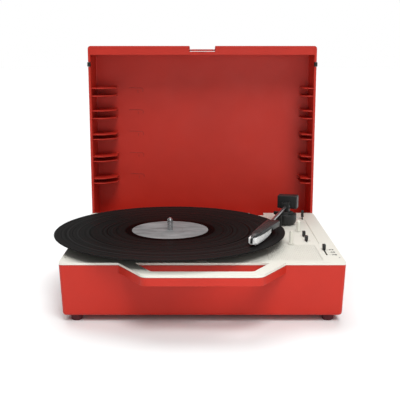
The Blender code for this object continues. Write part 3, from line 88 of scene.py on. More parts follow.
def put(tree, kind, inputs=None, **settings):
    """Adds a node of this kind, sets its options, and fills or links its inputs."""
    made = tree.nodes.new(kind)
    for option, value in settings.items():
        setattr(made, option, value)
    for socket, value in (inputs or {}).items():
        target = made.inputs[socket]
        if isinstance(value, bpy.types.NodeSocket):
            tree.links.new(value, target)
        else:
            target.default_value = value
    return made


def shader_of(material):
    return material.node_tree.nodes["Principled BSDF"]


def feed(material, socket, output):
    """Links a node's output to a socket of the material's shader."""
    material.node_tree.links.new(output, shader_of(material).inputs[socket])


def new_finish(name, colour, roughness, metallic=0.0, **sockets):
    """A material whose even values sit on the Principled shader's own sockets."""
    material = bpy.data.materials.new(name)
    material.use_nodes = True
    shader = shader_of(material)
    shader.inputs["Base Color"].default_value = (*colour, 1)
    shader.inputs["Roughness"].default_value = roughness
    shader.inputs["Metallic"].default_value = metallic
    for socket, value in sockets.items():
        shader.inputs[socket.replace("_", " ")].default_value = value
    return material


table_white = new_finish("table_white", (0.91, 0.94, 0.94), 0.9, Specular_IOR_Level=0.1)
tree = table_white.node_tree
drift = put(tree, "ShaderNodeTexNoise", {"Scale": 0.7, "Detail": 1.0})
paint = put(tree, "ShaderNodeMix", {"Factor": drift.outputs["Fac"], "A": (0.90, 0.935, 0.935, 1),
                                    "B": (0.92, 0.95, 0.95, 1)}, data_type="RGBA")
feed(table_white, "Base Color", paint.outputs["Result"])
table.data.materials.append(table_white)

world = bpy.data.worlds.new("white_room")
world.use_nodes = True
room = world.node_tree
room.nodes.clear()
seen = put(room, "ShaderNodeBackground", {"Color": (1, 1, 1, 1), "Strength": 1.0})
fill = put(room, "ShaderNodeBackground", {"Color": (1.0, 0.99, 0.98, 1), "Strength": 0.20})
path = put(room, "ShaderNodeLightPath")
either = put(room, "ShaderNodeMixShader", {0: path.outputs["Is Camera Ray"],
                                           1: fill.outputs["Background"],
                                           2: seen.outputs["Background"]})
put(room, "ShaderNodeOutputWorld", {"Surface": either.outputs["Shader"]})
bpy.context.scene.world = world
bpy.context.scene.view_settings.view_transform = "Standard"


def add_sun(name, strength, angle, azimuth, elevation):
    """A distant lamp: azimuth 0 shines from the front, 90 from the right."""
    lamp = bpy.data.objects.new(name, bpy.data.lights.new(name, "SUN"))
    lamp.data.energy = strength
    lamp.data.angle = math.radians(angle)
    lamp.rotation_euler = (math.radians(90 - elevation), 0, math.radians(azimuth))
    bpy.context.scene.collection.objects.link(lamp)
    return lamp


add_sun("key_lamp", 1.85, 30, 17, 56)
add_sun("top_lamp", 1.85, 50, 190, 62)

# A soft panel of light stands close in front, so it falls off towards the lid.
front_lamp = bpy.data.objects.new("front_lamp", bpy.data.lights.new("front_lamp", "AREA"))
front_lamp.data.size = 0.45
front_lamp.data.energy = 0.85
front_lamp.location = (0.12, -0.68, 0.24)
front_lamp.rotation_euler = (math.radians(78), 0, math.radians(8))
front_lamp.visible_camera = False
bpy.context.scene.collection.objects.link(front_lamp)

# ---- Finishes shared by the mouldings --------------------------------------------------------
# Every plastic piece is injection moulded: a fine spark-eroded grain, edges rounded by the tool
# and painted paler, partly as rubbing in use and partly as a painted highlight, a slow drift in
# its colour, and dust on what faces up.


def new_group(name, sockets_in, sockets_out):
    """A shader node group with named sockets: (name, kind, value) in, (name, kind) out."""
    group = bpy.data.node_groups.new(name, "ShaderNodeTree")
    for label, kind, value in sockets_in:
        socket = group.interface.new_socket(label, in_out="INPUT", socket_type=kind)
        socket.default_value = value
    for label, kind in sockets_out:
        group.interface.new_socket(label, in_out="OUTPUT", socket_type=kind)
    return group, put(group, "NodeGroupInput"), put(group, "NodeGroupOutput")


FLOAT, COLOUR = "NodeSocketFloat", "NodeSocketColor"

moulded_grain, start, end = new_group(
    "moulded_grain", [("Scale", FLOAT, 2200.0), ("Coarse Share", FLOAT, 0.35)], [("Height", FLOAT)])
place = put(moulded_grain, "ShaderNodeTexCoord")
fine = put(moulded_grain, "ShaderNodeTexNoise", {"Vector": place.outputs["Object"],
                                                 "Scale": start.outputs["Scale"], "Detail": 3.0})
third = put(moulded_grain, "ShaderNodeMath", {0: start.outputs["Scale"], 1: 0.4},
            operation="MULTIPLY")
pits = put(moulded_grain, "ShaderNodeTexVoronoi", {"Vector": place.outputs["Object"],
                                                   "Scale": third.outputs[0]})
both = put(moulded_grain, "ShaderNodeMix", {"Factor": start.outputs["Coarse Share"],
                                            "A": fine.outputs["Fac"],
                                            "B": pits.outputs["Distance"]})
moulded_grain.links.new(both.outputs["Result"], end.inputs["Height"])

slow_drift, start, end = new_group(
    "slow_drift", [("Colour", COLOUR, (1, 1, 1, 1)), ("Amount", FLOAT, 0.06),
                   ("Scale", FLOAT, 14.0)], [("Colour", COLOUR), ("Mask", FLOAT)])
place = put(slow_drift, "ShaderNodeTexCoord")
cloud = put(slow_drift, "ShaderNodeTexNoise", {"Vector": place.outputs["Object"],
                                               "Scale": start.outputs["Scale"], "Detail": 4.0,
                                               "Roughness": 0.6})
swing = put(slow_drift, "ShaderNodeMapRange", {"Value": cloud.outputs["Fac"], "From Min": 0.3,
                                               "From Max": 0.7, "To Min": -1.0, "To Max": 1.0})
share = put(slow_drift, "ShaderNodeMath", {0: swing.outputs["Result"],
                                           1: start.outputs["Amount"]}, operation="MULTIPLY")
level = put(slow_drift, "ShaderNodeMath", {0: share.outputs[0], 1: 1.0}, operation="ADD")
toned = put(slow_drift, "ShaderNodeVectorMath", {0: start.outputs["Colour"],
                                                 "Scale": level.outputs[0]}, operation="SCALE")
slow_drift.links.new(toned.outputs["Vector"], end.inputs["Colour"])
slow_drift.links.new(cloud.outputs["Fac"], end.inputs["Mask"])

# Edges, found where the bevel normal leaves the face's own, are painted paler in patches: partly
# rubbed paler in use, partly a painted highlight along the rounded edges.
worn_and_highlit_edges, start, end = new_group(
    "worn_and_highlit_edges", [("Colour", COLOUR, (1, 1, 1, 1)), ("Worn Highlight Colour", COLOUR, (1, 1, 1, 1)),
                   ("Radius", FLOAT, 0.0006), ("Amount", FLOAT, 0.5)],
    [("Colour", COLOUR), ("Mask", FLOAT), ("Normal", "NodeSocketVector")])
rounded = put(worn_and_highlit_edges, "ShaderNodeBevel", {"Radius": start.outputs["Radius"]}, samples=4)
surface = put(worn_and_highlit_edges, "ShaderNodeNewGeometry")
facing = put(worn_and_highlit_edges, "ShaderNodeVectorMath", {0: rounded.outputs["Normal"],
                                                  1: surface.outputs["Normal"]},
             operation="DOT_PRODUCT")
edge = put(worn_and_highlit_edges, "ShaderNodeMapRange", {"Value": facing.outputs["Value"], "From Min": 0.97,
                                              "From Max": 0.75, "To Min": 0.0, "To Max": 1.0})
place = put(worn_and_highlit_edges, "ShaderNodeTexCoord")
patch_noise = put(worn_and_highlit_edges, "ShaderNodeTexNoise", {"Vector": place.outputs["Object"], "Scale": 60.0,
                                             "Detail": 5.0})
patchy = put(worn_and_highlit_edges, "ShaderNodeMapRange", {"Value": patch_noise.outputs["Fac"], "From Min": 0.35,
                                                "From Max": 0.65})
pale_edge_patches = put(worn_and_highlit_edges, "ShaderNodeMath", {0: edge.outputs["Result"],
                                             1: patchy.outputs["Result"]}, operation="MULTIPLY")
mask = put(worn_and_highlit_edges, "ShaderNodeMath", {0: pale_edge_patches.outputs[0], 1: start.outputs["Amount"]},
           operation="MULTIPLY")
worn_highlight = put(worn_and_highlit_edges, "ShaderNodeMix", {"Factor": mask.outputs[0],
                                         "A": start.outputs["Colour"],
                                         "B": start.outputs["Worn Highlight Colour"]}, data_type="RGBA")
worn_and_highlit_edges.links.new(worn_highlight.outputs["Result"], end.inputs["Colour"])
worn_and_highlit_edges.links.new(mask.outputs[0], end.inputs["Mask"])
worn_and_highlit_edges.links.new(rounded.outputs["Normal"], end.inputs["Normal"])

light_dust, start, end = new_group(
    "light_dust", [("Colour", COLOUR, (1, 1, 1, 1)), ("Dust Colour", COLOUR, (0.6, 0.57, 0.53, 1)),
                   ("Amount", FLOAT, 0.1), ("Roughness", FLOAT, 0.4)],
    [("Colour", COLOUR), ("Roughness", FLOAT)])
surface = put(light_dust, "ShaderNodeNewGeometry")
parts = put(light_dust, "ShaderNodeSeparateXYZ", {"Vector": surface.outputs["Normal"]})
up = put(light_dust, "ShaderNodeMapRange", {"Value": parts.outputs["Z"], "From Min": 0.3,
                                            "From Max": 1.0})
place = put(light_dust, "ShaderNodeTexCoord")
specks = put(light_dust, "ShaderNodeTexNoise", {"Vector": place.outputs["Object"],
                                                "Scale": 420.0, "Detail": 6.0,
                                                "Roughness": 0.75})
lying = put(light_dust, "ShaderNodeMapRange", {"Value": specks.outputs["Fac"], "From Min": 0.48,
                                               "From Max": 0.72})
where = put(light_dust, "ShaderNodeMath", {0: up.outputs["Result"], 1: lying.outputs["Result"]},
            operation="MULTIPLY")
thin = put(light_dust, "ShaderNodeMath", {0: where.outputs[0], 1: start.outputs["Amount"]},
           operation="MULTIPLY")
dusted = put(light_dust, "ShaderNodeMix", {"Factor": thin.outputs[0],
                                           "A": start.outputs["Colour"],
                                           "B": start.outputs["Dust Colour"]}, data_type="RGBA")
smear = put(light_dust, "ShaderNodeTexNoise", {"Vector": place.outputs["Object"], "Scale": 26.0,
                                               "Detail": 3.0})
spread = put(light_dust, "ShaderNodeMapRange", {"Value": smear.outputs["Fac"], "From Min": 0.3,
                                                "From Max": 0.7, "To Min": -0.05, "To Max": 0.05})
rough = put(light_dust, "ShaderNodeMath", {0: start.outputs["Roughness"],
                                           1: spread.outputs["Result"]}, operation="ADD")
duller = put(light_dust, "ShaderNodeMath", {0: rough.outputs[0], 1: thin.outputs[0]},
             operation="ADD", use_clamp=True)
light_dust.links.new(dusted.outputs["Result"], end.inputs["Colour"])
light_dust.links.new(duller.outputs[0], end.inputs["Roughness"])


def add_group(tree, group, inputs):
    return put(tree, "ShaderNodeGroup", inputs, node_tree=group)


def moulded_plastic(name, colour, worn_highlight, roughness, grain=0.00003, grain_scale=2200.0,
                    edge_radius=0.0006, wear_and_highlight=0.5, dust=0.08, drift=0.05, **sockets):
    """Injection-moulded plastic: grain, rubbed and highlight-painted edges, colour drift, a little
    dust.
    """
    material = new_finish(name, colour, roughness, **sockets)
    tree = material.node_tree
    toned = add_group(tree, slow_drift, {"Colour": (*colour, 1), "Amount": drift})
    edges = add_group(tree, worn_and_highlit_edges, {"Colour": toned.outputs["Colour"],
                                         "Worn Highlight Colour": (*worn_highlight, 1), "Radius": edge_radius,
                                         "Amount": wear_and_highlight})
    dusty = add_group(tree, light_dust, {"Colour": edges.outputs["Colour"], "Amount": dust,
                                         "Roughness": roughness})
    texture = add_group(tree, moulded_grain, {"Scale": grain_scale})
    relief = put(tree, "ShaderNodeBump", {"Height": texture.outputs["Height"], "Strength": 0.6,
                                          "Distance": grain,
                                          "Normal": edges.outputs["Normal"]})
    feed(material, "Base Color", dusty.outputs["Colour"])
    feed(material, "Roughness", dusty.outputs["Roughness"])
    feed(material, "Normal", relief.outputs["Normal"])
    return material


def finish_nodes(material, *names):
    """Gives these CAD pieces the finish, in every slot that they have."""
    for name in names:
        piece = nodes[name]
        if not piece.material_slots:
            piece.data.materials.append(material)
        for held in piece.material_slots:
            held.material = material


# ---- Case ----------------------------------------------------------------------------------
# Base tray and lid are two drafted shells in red ABS, their colour right through. The base's front
# grows into the lower half of the handle, and the lid stands open on two hinge arms.
case_red = moulded_plastic("case_red", (0.52, 0.026, 0.014), (0.62, 0.11, 0.07), 0.42, dust=0.03,
                           Specular_IOR_Level=0.25)
finish_nodes(case_red, "base_shell", "lid_shell", "latch_tab")

# ---- Deck ----------------------------------------------------------------------------------
# The deck is one cream ABS plate dropped on the base's rim. It carries the upper half of the
# handle, and the arm rest and the single's adaptor peg are moulded in the same plastic.
deck_cream = moulded_plastic("deck_cream", (0.78, 0.765, 0.685), (0.84, 0.82, 0.75), 0.46,
                             grain=0.00004, dust=0.10, drift=0.02, Specular_IOR_Level=0.35)
finish_nodes(deck_cream, "deck_plate", "arm_rest", "adaptor_peg")

# ---- Lid details -----------------------------------------------------------------------------
# Beside each pair of record-stand fins a short line and a hook are raised in the lid's panel, as
# a mark for where a sleeve stands. They come out of the same tool in the same red; the darker
# red given here is painted shade, standing in for the shade along the small relief.
CREASE = math.radians(35)        # edges sharper than this stay sharp on a smooth piece


def joined_piece(name, build, material, body, smooth=True, centre=(0, 0, 0)):
    """A piece built by a function that fills a bmesh, given a finish and a body to ride on."""
    mesh = bpy.data.meshes.new(name)
    form = bmesh.new()
    build(form)
    bmesh.ops.recalc_face_normals(form, faces=form.faces)
    form.to_mesh(mesh)
    form.free()
    for face in mesh.polygons:
        face.use_smooth = smooth
    mesh.materials.append(material)
    piece = add_object(name, mesh)
    piece.location = centre
    if smooth:
        piece.modifiers.new("crease", "EDGE_SPLIT").split_angle = CREASE
    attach(piece, body)
    return piece


def add_bar(form, line, width, low, high, across=Vector((0, 0, 1))):
    """A raised bar of rectangular section along a run of points, standing along 'across'."""
    rings = []
    for index, point in enumerate(line):
        before, after = line[max(index - 1, 0)], line[min(index + 1, len(line) - 1)]
        along = (after - before).normalized()
        side = along.cross(across).normalized() * width / 2
        rings.append([form.verts.new(point + side + across * low),
                      form.verts.new(point - side + across * low),
                      form.verts.new(point - side * 0.6 + across * high),
                      form.verts.new(point + side * 0.6 + across * high)])
    for first, second in zip(rings, rings[1:]):
        for corner in range(4):
            form.faces.new((first[corner], first[(corner + 1) % 4],
                            second[(corner + 1) % 4], second[corner]))
    form.faces.new(rings[0])
    form.faces.new(rings[-1][::-1])


LID_WALL = 0.0034
PANEL_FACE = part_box("lid_shell")[1].y - LID_WALL     # inside of the lid's panel
PAIRS = 5
FIRST_PAIR = 0.1149              # height of the lowest pair of fins
PAIR_STEP = 0.0338
MARK_RISE = 0.0045               # the line's height over its pair
MARK_WIDTH = 0.0008
MARK_ROOT = -0.0002              # the marks grow from just under the panel's face
MARK_HEIGHT = 0.00035
LINE_POINTS = [(-0.1145, 0.0), (-0.1080, 0.0004), (-0.1010, -0.0002), (-0.0960, 0.0)]
HOOK_RADIUS = 0.0036
HOOK_STEPS = 5
HOOK_TURN = 26                   # degrees in each step
STEM_X = -0.1005
STEM_TOP = 0.0030                # distances below the line
STEM_BOTTOM = 0.0075
STEM_SHORTER = 0.0008            # every second stem ends this much higher


def fill_marks(form):
    """Beside each pair, a line that ends in a hook, with a short stem under it."""
    out = Vector((0, -1, 0))
    for order in range(PAIRS):
        top = FIRST_PAIR + PAIR_STEP * order + MARK_RISE
        line = [Vector((x, PANEL_FACE, top + rise)) for x, rise in LINE_POINTS]
        for step in range(1, HOOK_STEPS + 1):
            angle = math.radians(90 - HOOK_TURN * step)
            line.append(Vector((LINE_POINTS[-1][0] + HOOK_RADIUS * math.cos(angle), PANEL_FACE,
                                top - HOOK_RADIUS + HOOK_RADIUS * math.sin(angle))))
        add_bar(form, line, MARK_WIDTH, MARK_ROOT, MARK_HEIGHT, out)
        stem = [Vector((STEM_X, PANEL_FACE, top - STEM_TOP)),
                Vector((STEM_X, PANEL_FACE, top - STEM_BOTTOM + STEM_SHORTER * (order % 2)))]
        add_bar(form, stem, MARK_WIDTH, MARK_ROOT, MARK_HEIGHT, out)


# A darker red than the case, as painted shade, so that the low relief reads.
shaded_mark_red = moulded_plastic("shaded_mark_red", (0.30, 0.014, 0.008), (0.40, 0.05, 0.03), 0.6)
stand_marks = joined_piece("stand_marks", fill_marks, shaded_mark_red, "lid", smooth=False)

# ---- Deck details ----------------------------------------------------------------------------
# The loudspeaker fires up through a field of fine moulded holes in the deck, and the speed
# figures and stop marks beside the sliders are pad-printed in black.
grille_low, grille_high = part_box("speaker_grille")
HOLE_PITCH = 0.0023
HOLE_RADIUS = 0.00062
HOLE_SIDES = 8


def fill_grille(form):
    """A plate whose every cell holds one round hole, closed at its sides and in the holes."""
    width, depth = grille_high.x - grille_low.x, grille_high.y - grille_low.y
    columns, rows = round(width / HOLE_PITCH), round(depth / HOLE_PITCH)
    step_x, step_y = width / columns, depth / rows
    shelf = {}

    def corner(i, j, z):
        key = (i, j, z)
        if key not in shelf:
            shelf[key] = form.verts.new((grille_low.x + i * step_x, grille_low.y + j * step_y, z))
        return shelf[key]

    top, bottom = grille_high.z, grille_low.z
    for column in range(columns):
        for row in range(rows):
            centre = Vector((grille_low.x + (column + 0.5) * step_x,
                             grille_low.y + (row + 0.5) * step_y, 0))
            rings = []
            for z in (top, bottom):
                ring = []
                for index in range(HOLE_SIDES):
                    angle = math.radians(22.5 + 360 * index / HOLE_SIDES)
                    ring.append(form.verts.new((centre.x + HOLE_RADIUS * math.cos(angle),
                                                centre.y + HOLE_RADIUS * math.sin(angle), z)))
                rings.append(ring)
                square = [corner(column + 1, row + 1, z), corner(column, row + 1, z),
                          corner(column, row, z), corner(column + 1, row, z)]
                for quarter in range(4):
                    near, next_near = square[quarter], square[(quarter + 1) % 4]
                    first, second, third = (ring[(2 * quarter + shift) % HOLE_SIDES]
                                            for shift in (0, 1, 2))
                    form.faces.new((near, first, second))
                    form.faces.new((near, second, next_near))
                    form.faces.new((next_near, second, third))
            for index in range(HOLE_SIDES):
                form.faces.new((rings[0][index], rings[1][index],
                                rings[1][(index + 1) % HOLE_SIDES],
                                rings[0][(index + 1) % HOLE_SIDES]))
    for column in range(columns):
        for row in (0, rows):
            form.faces.new((corner(column, row, top), corner(column + 1, row, top),
                            corner(column + 1, row, bottom), corner(column, row, bottom)))
    for row in range(rows):
        for column in (0, columns):
            form.faces.new((corner(column, row, top), corner(column, row + 1, top),
                            corner(column, row + 1, bottom), corner(column, row, bottom)))


perforated_panel = joined_piece("perforated_panel", fill_grille, deck_cream, "base", smooth=False)
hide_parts("speaker_grille")

deck_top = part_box("deck_plate")[1].z
print_ink = new_finish("print_ink", (0.02, 0.02, 0.022), 0.55)
tree = print_ink.node_tree
place = put(tree, "ShaderNodeTexCoord")
thin_ink = put(tree, "ShaderNodeTexNoise", {"Vector": place.outputs["Object"], "Scale": 2400.0})
ink = put(tree, "ShaderNodeMix", {"Factor": thin_ink.outputs["Fac"], "A": (0.012, 0.012, 0.013, 1),
                                  "B": (0.05, 0.05, 0.052, 1)}, data_type="RGBA")
feed(print_ink, "Base Color", ink.outputs["Result"])
INK_HEIGHT = 0.00008
SKIN = 0.00002                   # kept between two faces that would otherwise lie together
FIGURE_SIZE = 0.0066
FIGURE_WEIGHT = 0.00018          # how far the outlines are thickened
FIGURE_SHIFT = 0.0090            # from the speed knob's middle to the figures' middle
SPEED_STEP = 0.012               # between one speed and the next


def printed_text(name, text, size, x, y):
    """Figures printed flat on the deck, centred on x and y."""
    figures = bpy.data.curves.new(name, "FONT")
    figures.body = text
    figures.size = size
    figures.align_x, figures.align_y = "CENTER", "CENTER"
    figures.extrude = INK_HEIGHT / 2
    figures.offset = FIGURE_WEIGHT
    holder = add_object(name + "_outline", figures)
    bpy.context.view_layer.update()
    graph = bpy.context.evaluated_depsgraph_get()
    mesh = bpy.data.meshes.new_from_object(holder.evaluated_get(graph), depsgraph=graph)
    bpy.data.objects.remove(holder)
    mesh.transform(Matrix.Translation((x, y, deck_top + INK_HEIGHT / 2 + SKIN)))
    mesh.materials.clear()
    mesh.materials.append(print_ink)
    printed = add_object(name, mesh)
    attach(printed, "base")
    return printed


speed_low, speed_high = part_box("speed_knob")
speed_x = (speed_low.x + speed_high.x) / 2
speed_y = (speed_low.y + speed_high.y) / 2
for order, figure in enumerate(("33", "45", "78")):
    printed_text("speed_figure_" + figure, figure, FIGURE_SIZE, speed_x + FIGURE_SHIFT,
                 speed_y - SPEED_STEP * order)


TICK_START, TICK_END = 0.0030, 0.0048      # from the speed knob's middle
TICK_WIDTH = 0.0008
SCALE_START = 0.0038                       # from the other knobs' middles
SCALE_WIDTH = 0.0005
SCALE_TICKS = [(-0.004, 0.0008), (0.0, 0.0014), (0.004, 0.0020)]     # place, then length


def fill_ticks(form):
    """A tick beside each speed, and three growing ticks beside each of the other knobs."""
    up = Vector((0, 0, 1))
    for order in range(3):
        y = speed_y - SPEED_STEP * order
        add_bar(form, [Vector((speed_x + TICK_START, y, deck_top)),
                       Vector((speed_x + TICK_END, y, deck_top))], TICK_WIDTH, SKIN, INK_HEIGHT, up)
    for knob in ("volume_knob", "auto_stop_knob"):
        low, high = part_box(knob)
        x, y = (low.x + high.x) / 2, (low.y + high.y) / 2
        for shift, length in SCALE_TICKS:
            add_bar(form, [Vector((x + SCALE_START, y + shift, deck_top)),
                           Vector((x + SCALE_START + length, y + shift, deck_top))],
                    SCALE_WIDTH, SKIN, INK_HEIGHT, up)


stop_ticks = joined_piece("stop_ticks", fill_ticks, print_ink, "base", smooth=False)


PIP_RADIUS, PIP_TOP_RADIUS = 0.0012, 0.0009
PIP_HEIGHT = 0.0005
PIP_X, PIP_Y = 0.1655, -0.1175


def fill_pips(form):
    """Two small tapered pips, one near each front corner of the deck."""
    for side in (-1, 1):
        middle = Matrix.Translation((side * PIP_X, PIP_Y, deck_top + (PIP_HEIGHT + SKIN) / 2))
        bmesh.ops.create_cone(form, cap_ends=True, segments=20, radius1=PIP_RADIUS,
                              radius2=PIP_TOP_RADIUS, depth=PIP_HEIGHT - SKIN, matrix=middle)


pip_grey = moulded_plastic("pip_grey", (0.42, 0.41, 0.38), (0.6, 0.6, 0.56), 0.5)
seat_pips = joined_piece("seat_pips", fill_pips, pip_grey, "base")

# ---- Record ----------------------------------------------------------------------------------
# A long-playing record pressed in black vinyl: a raised rim bead, bands of fine groove with
# smoother gaps between the tracks, a plain run-out ring, and a step down to the label. The
# bands of groove are painted grey in noisy rings, lighter towards the rim, as painted sheen,
# and the run-out ring is painted darker than they are.
spin = Vector(hinges["platter_spin"]["pos_m"])
disc_low, disc_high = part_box("record_disc")
disc_radius = (disc_high.x - disc_low.x) / 2
label_radius = (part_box("record_label")[1].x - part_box("record_label")[0].x) / 2
label_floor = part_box("record_label")[0].z
spindle_radius = (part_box("spindle")[1].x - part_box("spindle")[0].x) / 2


RECORD_SIDES = 160
TRACK_ENDS = [0.0600, 0.0755, 0.0890, 0.1035, 0.1190, 0.1325, 0.1462]
GAP_HALF = 0.0007
RUN_OUT = TRACK_ENDS[0] - GAP_HALF         # outer edge of the run-out ring
GROOVE_DROP = 0.00014
GROOVE_WAVES = 6
WAVE_CREST = 0.75                # share of the drop that is left at a crest
BORE_PLAY = 0.00012              # between the bore and the spindle
FACE_DROP = 0.00012              # from the rim's bead down to the smooth gaps
BEAD_START, BEAD_TOP = 0.1480, 0.1490
EDGE_BEVEL = 0.0006
UNDER_RISE = 0.0002              # of the record's underside, outside its middle
full = disc_high.z - spin.z
face = full - FACE_DROP
label_seat = label_floor - SKIN - spin.z
face_profile = [(spindle_radius + BORE_PLAY, label_seat), (label_radius + 0.0004, label_seat),
                (label_radius + 0.0008, full - SKIN), (label_radius + 0.0022, full - SKIN),
                (label_radius + 0.0030, face), (RUN_OUT, face)]
for inner_end, outer_end in zip(TRACK_ENDS, TRACK_ENDS[1:]):
    start_radius, stop_radius = inner_end + GAP_HALF, outer_end - GAP_HALF
    face_profile.append((start_radius, face - GROOVE_DROP))
    for wave in range(1, GROOVE_WAVES):
        radius = start_radius + (stop_radius - start_radius) * wave / GROOVE_WAVES
        face_profile.append((radius, face - GROOVE_DROP * (WAVE_CREST if wave % 2 else 1.0)))
    face_profile.append((stop_radius, face - GROOVE_DROP))
    face_profile.append((outer_end - GAP_HALF * 0.6, face))
    face_profile.append((outer_end + GAP_HALF * 0.6, face))
base_of_disc = disc_low.z - spin.z
under = base_of_disc + UNDER_RISE
face_profile += [(BEAD_START, face), (BEAD_TOP, full), (disc_radius - EDGE_BEVEL, full),
                 (disc_radius, full - EDGE_BEVEL), (disc_radius, base_of_disc + 0.0007),
                 (disc_radius - 0.0010, under), (disc_radius - 0.0030, under),
                 (label_radius + 0.004, under), (label_radius + 0.002, base_of_disc),
                 (spindle_radius + BORE_PLAY, base_of_disc)]


def fill_record(form):
    """Turns the record's closed profile of (radius, height) points round its own Z axis."""
    rings = []
    for radius, height in face_profile:
        rings.append([])
        for turn in range(RECORD_SIDES):
            angle = 2 * math.pi * turn / RECORD_SIDES
            rings[-1].append(form.verts.new((radius * math.cos(angle), radius * math.sin(angle),
                                             height)))
    for ring, following in zip(rings, rings[1:] + rings[:1]):
        for turn in range(RECORD_SIDES):
            beside = (turn + 1) % RECORD_SIDES
            form.faces.new((ring[turn], ring[beside], following[beside], following[turn]))


pressed_vinyl = new_finish("pressed_vinyl", (0.012, 0.012, 0.013), 0.32, Specular_IOR_Level=0.006,
                           Anisotropic=0.7)
tree = pressed_vinyl.node_tree
place = put(tree, "ShaderNodeTexCoord")
parts = put(tree, "ShaderNodeSeparateXYZ", {"Vector": place.outputs["Object"]})
flat = put(tree, "ShaderNodeCombineXYZ", {"X": parts.outputs["X"], "Y": parts.outputs["Y"]})
radius_out = put(tree, "ShaderNodeVectorMath", {0: flat.outputs["Vector"]}, operation="LENGTH")
bands = put(tree, "ShaderNodeTexNoise", {"W": radius_out.outputs["Value"], "Scale": 320.0,
                                         "Detail": 4.0, "Roughness": 0.7},
            noise_dimensions="1D")
loudness = put(tree, "ShaderNodeTexNoise", {"W": radius_out.outputs["Value"], "Scale": 1500.0,
                                            "Detail": 3.0, "Roughness": 0.8},
               noise_dimensions="1D")
cut_level = put(tree, "ShaderNodeMapRange", {"Value": bands.outputs["Fac"], "From Min": 0.3,
                                             "From Max": 0.7, "To Min": 0.26, "To Max": 0.46})
feed(pressed_vinyl, "Roughness", cut_level.outputs["Result"])
# Painted sheen: the bands of groove are painted lighter in noisy rings, more so towards the rim,
# and the run-out ring is painted near black.
shade = put(tree, "ShaderNodeMapRange", {"Value": bands.outputs["Fac"], "From Min": 0.35,
                                         "From Max": 0.7})
outward = put(tree, "ShaderNodeMapRange", {"Value": radius_out.outputs["Value"],
                                           "From Min": 0.060, "From Max": 0.150,
                                           "To Min": 0.30, "To Max": 1.0})
sheen_share = put(tree, "ShaderNodeMath", {0: shade.outputs["Result"],
                                         1: outward.outputs["Result"]}, operation="MULTIPLY")
groove_sheen = put(tree, "ShaderNodeMix", {"Factor": sheen_share.outputs[0],
                                      "A": (0.0042, 0.0039, 0.0037, 1),
                                      "B": (0.0300, 0.0295, 0.0290, 1)}, data_type="RGBA")
run_out = put(tree, "ShaderNodeMath", {0: radius_out.outputs["Value"], 1: RUN_OUT},
              operation="LESS_THAN")
vinyl_and_sheen = put(tree, "ShaderNodeMix", {"Factor": run_out.outputs[0],
                                           "A": groove_sheen.outputs["Result"],
                                           "B": (0.0012, 0.0012, 0.0012, 1)}, data_type="RGBA")
record_dust = add_group(tree, light_dust, {"Colour": vinyl_and_sheen.outputs["Result"],
                                           "Dust Colour": (0.20, 0.20, 0.20, 1),
                                           "Amount": 0.015, "Roughness": 0.3})
feed(pressed_vinyl, "Base Color", record_dust.outputs["Colour"])
grooves = put(tree, "ShaderNodeBump", {"Height": loudness.outputs["Fac"], "Strength": 0.5,
                                       "Distance": 0.00008})
feed(pressed_vinyl, "Normal", grooves.outputs["Normal"])
round_grain = put(tree, "ShaderNodeTangent", direction_type="RADIAL", axis="Z")
feed(pressed_vinyl, "Tangent", round_grain.outputs["Tangent"])

pressed_record = joined_piece("pressed_record", fill_record, pressed_vinyl, "turntable",
                              centre=spin)
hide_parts("record_disc")

# The label is a plain grey paper disc pressed into the vinyl while it was hot, so it has a faint
# ring from the stamper and the cloudy, brushed look of uncoated stock.
label_stock = new_finish("label_stock", (0.22, 0.22, 0.225), 0.75)
tree = label_stock.node_tree
place = put(tree, "ShaderNodeTexCoord")
stretched = put(tree, "ShaderNodeMapping", {"Vector": place.outputs["Object"],
                                            "Rotation": (0, 0, math.radians(24)),
                                            "Scale": (30.0, 95.0, 30.0)})
streaks = put(tree, "ShaderNodeTexNoise", {"Vector": stretched.outputs["Vector"], "Scale": 1.0,
                                           "Detail": 5.0, "Roughness": 0.6, "Distortion": 0.6})
tone = put(tree, "ShaderNodeMapRange", {"Value": streaks.outputs["Fac"], "From Min": 0.3,
                                        "From Max": 0.72})
paper = put(tree, "ShaderNodeMix", {"Factor": tone.outputs["Result"],
                                    "A": (0.125, 0.128, 0.13, 1), "B": (0.285, 0.287, 0.29, 1)},
            data_type="RGBA")
moved = put(tree, "ShaderNodeVectorMath", {0: place.outputs["Object"],
                                           1: (-spin.x, -spin.y, 0)}, operation="ADD")
parts = put(tree, "ShaderNodeSeparateXYZ", {"Vector": moved.outputs["Vector"]})
flat = put(tree, "ShaderNodeCombineXYZ", {"X": parts.outputs["X"], "Y": parts.outputs["Y"]})
from_centre = put(tree, "ShaderNodeVectorMath", {0: flat.outputs["Vector"]}, operation="LENGTH")
ring = put(tree, "ShaderNodeMath", {0: from_centre.outputs["Value"], 1: 0.0165, 2: 0.0004},
           operation="COMPARE")
ring_share = put(tree, "ShaderNodeMath", {0: ring.outputs[0], 1: 0.35}, operation="MULTIPLY")
ringed = put(tree, "ShaderNodeMix", {"Factor": ring_share.outputs[0],
                                     "A": paper.outputs["Result"], "B": (0.10, 0.10, 0.10, 1)},
             data_type="RGBA")
feed(label_stock, "Base Color", ringed.outputs["Result"])
fibres = put(tree, "ShaderNodeTexNoise", {"Vector": place.outputs["Object"], "Scale": 900.0,
                                          "Detail": 4.0})
tooth = put(tree, "ShaderNodeBump", {"Height": fibres.outputs["Fac"], "Strength": 0.5,
                                     "Distance": 0.00005})
feed(label_stock, "Normal", tooth.outputs["Normal"])
finish_nodes(label_stock, "record_label")

# ---- Platter and its drive ---------------------------------------------------------------------
# The platter is black ABS with a felt mat laid on it. It turns on a steel spindle in a brass
# bearing and is driven by a flat rubber belt from the brass pulley of a small can motor.
black_abs = moulded_plastic("black_abs", (0.013, 0.013, 0.014), (0.07, 0.07, 0.07), 0.36,
                            edge_radius=0.0005, dust=0.07, Specular_IOR_Level=0.4)
finish_nodes(black_abs, "platter")

